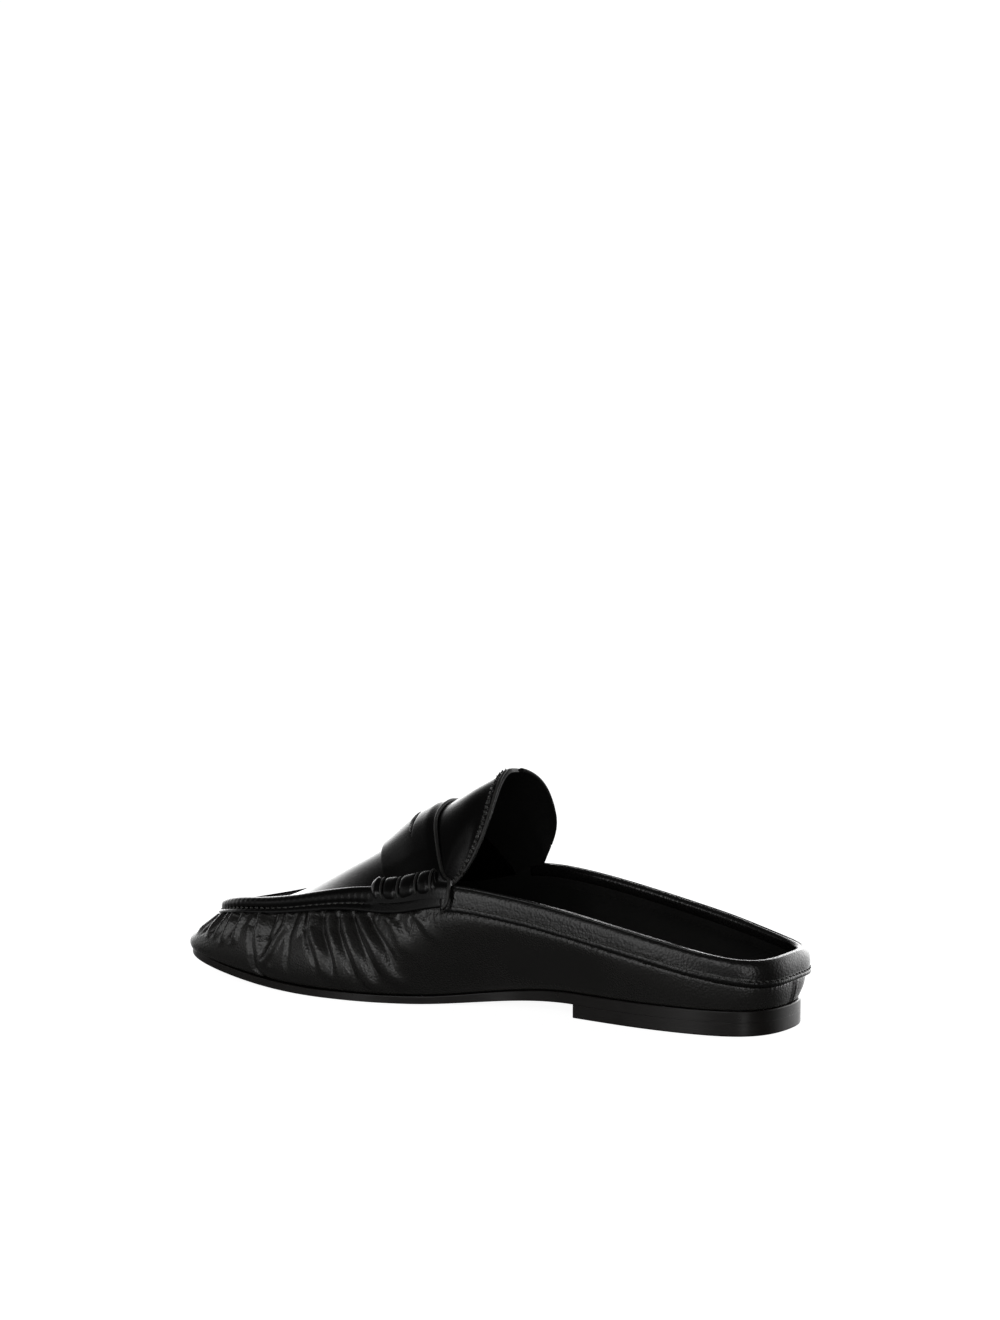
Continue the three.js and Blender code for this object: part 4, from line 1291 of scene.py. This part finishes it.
def build_studio():
    world = bpy.data.worlds.new("studio")
    bpy.context.scene.world = world
    world.use_nodes = True
    tree = world.node_tree
    direction = tree.nodes.new("ShaderNodeTexCoord").outputs["Generated"]
    total = ROUND_LEVEL
    for axis, widths, strength in LIGHTS_ROUND:
        total = arithmetic(tree, "ADD", total, soft_light(tree, direction, axis, widths, strength))
    seen = tree.nodes.new("ShaderNodeLightPath").outputs["Is Camera Ray"]
    white = arithmetic(tree, "MULTIPLY", seen, BACKGROUND)
    hidden = arithmetic(tree, "MULTIPLY", arithmetic(tree, "SUBTRACT", 1, seen), total)
    tree.links.new(arithmetic(tree, "ADD", white, hidden), tree.nodes["Background"].inputs["Strength"])
    tree.nodes["Background"].inputs["Color"].default_value = (1, 1, 1, 1)
    floor_material, _, shader = surface("pale_floor", (0.5, 0.5, 0.5), 0.9, 0)
    shader.inputs["Emission Color"].default_value = (1, 1, 1, 1)
    shader.inputs["Emission Strength"].default_value = FLOOR_GLOW
    mesh = bpy.data.meshes.new("floor")
    corners = [(x * FLOOR_REACH, y * FLOOR_REACH, 0) for x, y in ((-1, -1), (1, -1), (1, 1), (-1, 1))]
    mesh.from_pydata(corners, [], [(0, 1, 2, 3)])
    floor = bpy.data.objects.new("floor", mesh)
    floor.data.materials.append(floor_material)
    floor.visible_glossy = False
    floor.visible_diffuse = False
    bpy.context.collection.objects.link(floor)
    bpy.context.scene.view_settings.view_transform = "Standard"


# The photograph was taken from behind the inner side
CAMERA_AZIMUTH = 210
CAMERA_ELEVATION = 11.4
CAMERA_DISTANCE = 1.5
CAMERA_TARGET = Vector((91 * MM, 0, 0))
IMAGE_WIDTH, IMAGE_HEIGHT = 1000, 1320
TARGET_PIXEL = (492.9, 994.6)
FOCAL_PIXELS = 3803
SENSOR_WIDTH = 36


def build_camera():
    azimuth, elevation = math.radians(CAMERA_AZIMUTH), math.radians(CAMERA_ELEVATION)
    back = Vector((math.sin(azimuth) * math.cos(elevation), -math.cos(azimuth) * math.cos(elevation),
                   math.sin(elevation)))
    data = bpy.data.cameras.new("camera")
    data.sensor_fit = "HORIZONTAL"
    data.sensor_width = SENSOR_WIDTH
    data.lens = FOCAL_PIXELS * SENSOR_WIDTH / IMAGE_WIDTH
    camera = bpy.data.objects.new("camera", data)
    camera.location = CAMERA_TARGET + back * CAMERA_DISTANCE
    # turned so that the target lands on its pixel
    right_of_centre = TARGET_PIXEL[0] - IMAGE_WIDTH / 2
    under_centre = TARGET_PIXEL[1] - IMAGE_HEIGHT / 2
    pitch = math.atan2(under_centre, FOCAL_PIXELS)
    yaw = math.atan2(right_of_centre, math.hypot(FOCAL_PIXELS, under_centre))
    look = (-back).to_track_quat("-Z", "Y").to_matrix()
    turn = Matrix.Rotation(yaw, 3, "Y") @ Matrix.Rotation(pitch, 3, "X")
    camera.rotation_euler = (look @ turn).to_euler()
    bpy.context.collection.objects.link(camera)
    bpy.context.scene.camera = camera


build_wall()
build_plug()
build_lip()
build_band()
build_rim_beads()
build_band_stitches()
build_tongue()
build_strap()
build_rolls()
build_sole()
build_studio()
build_camera()
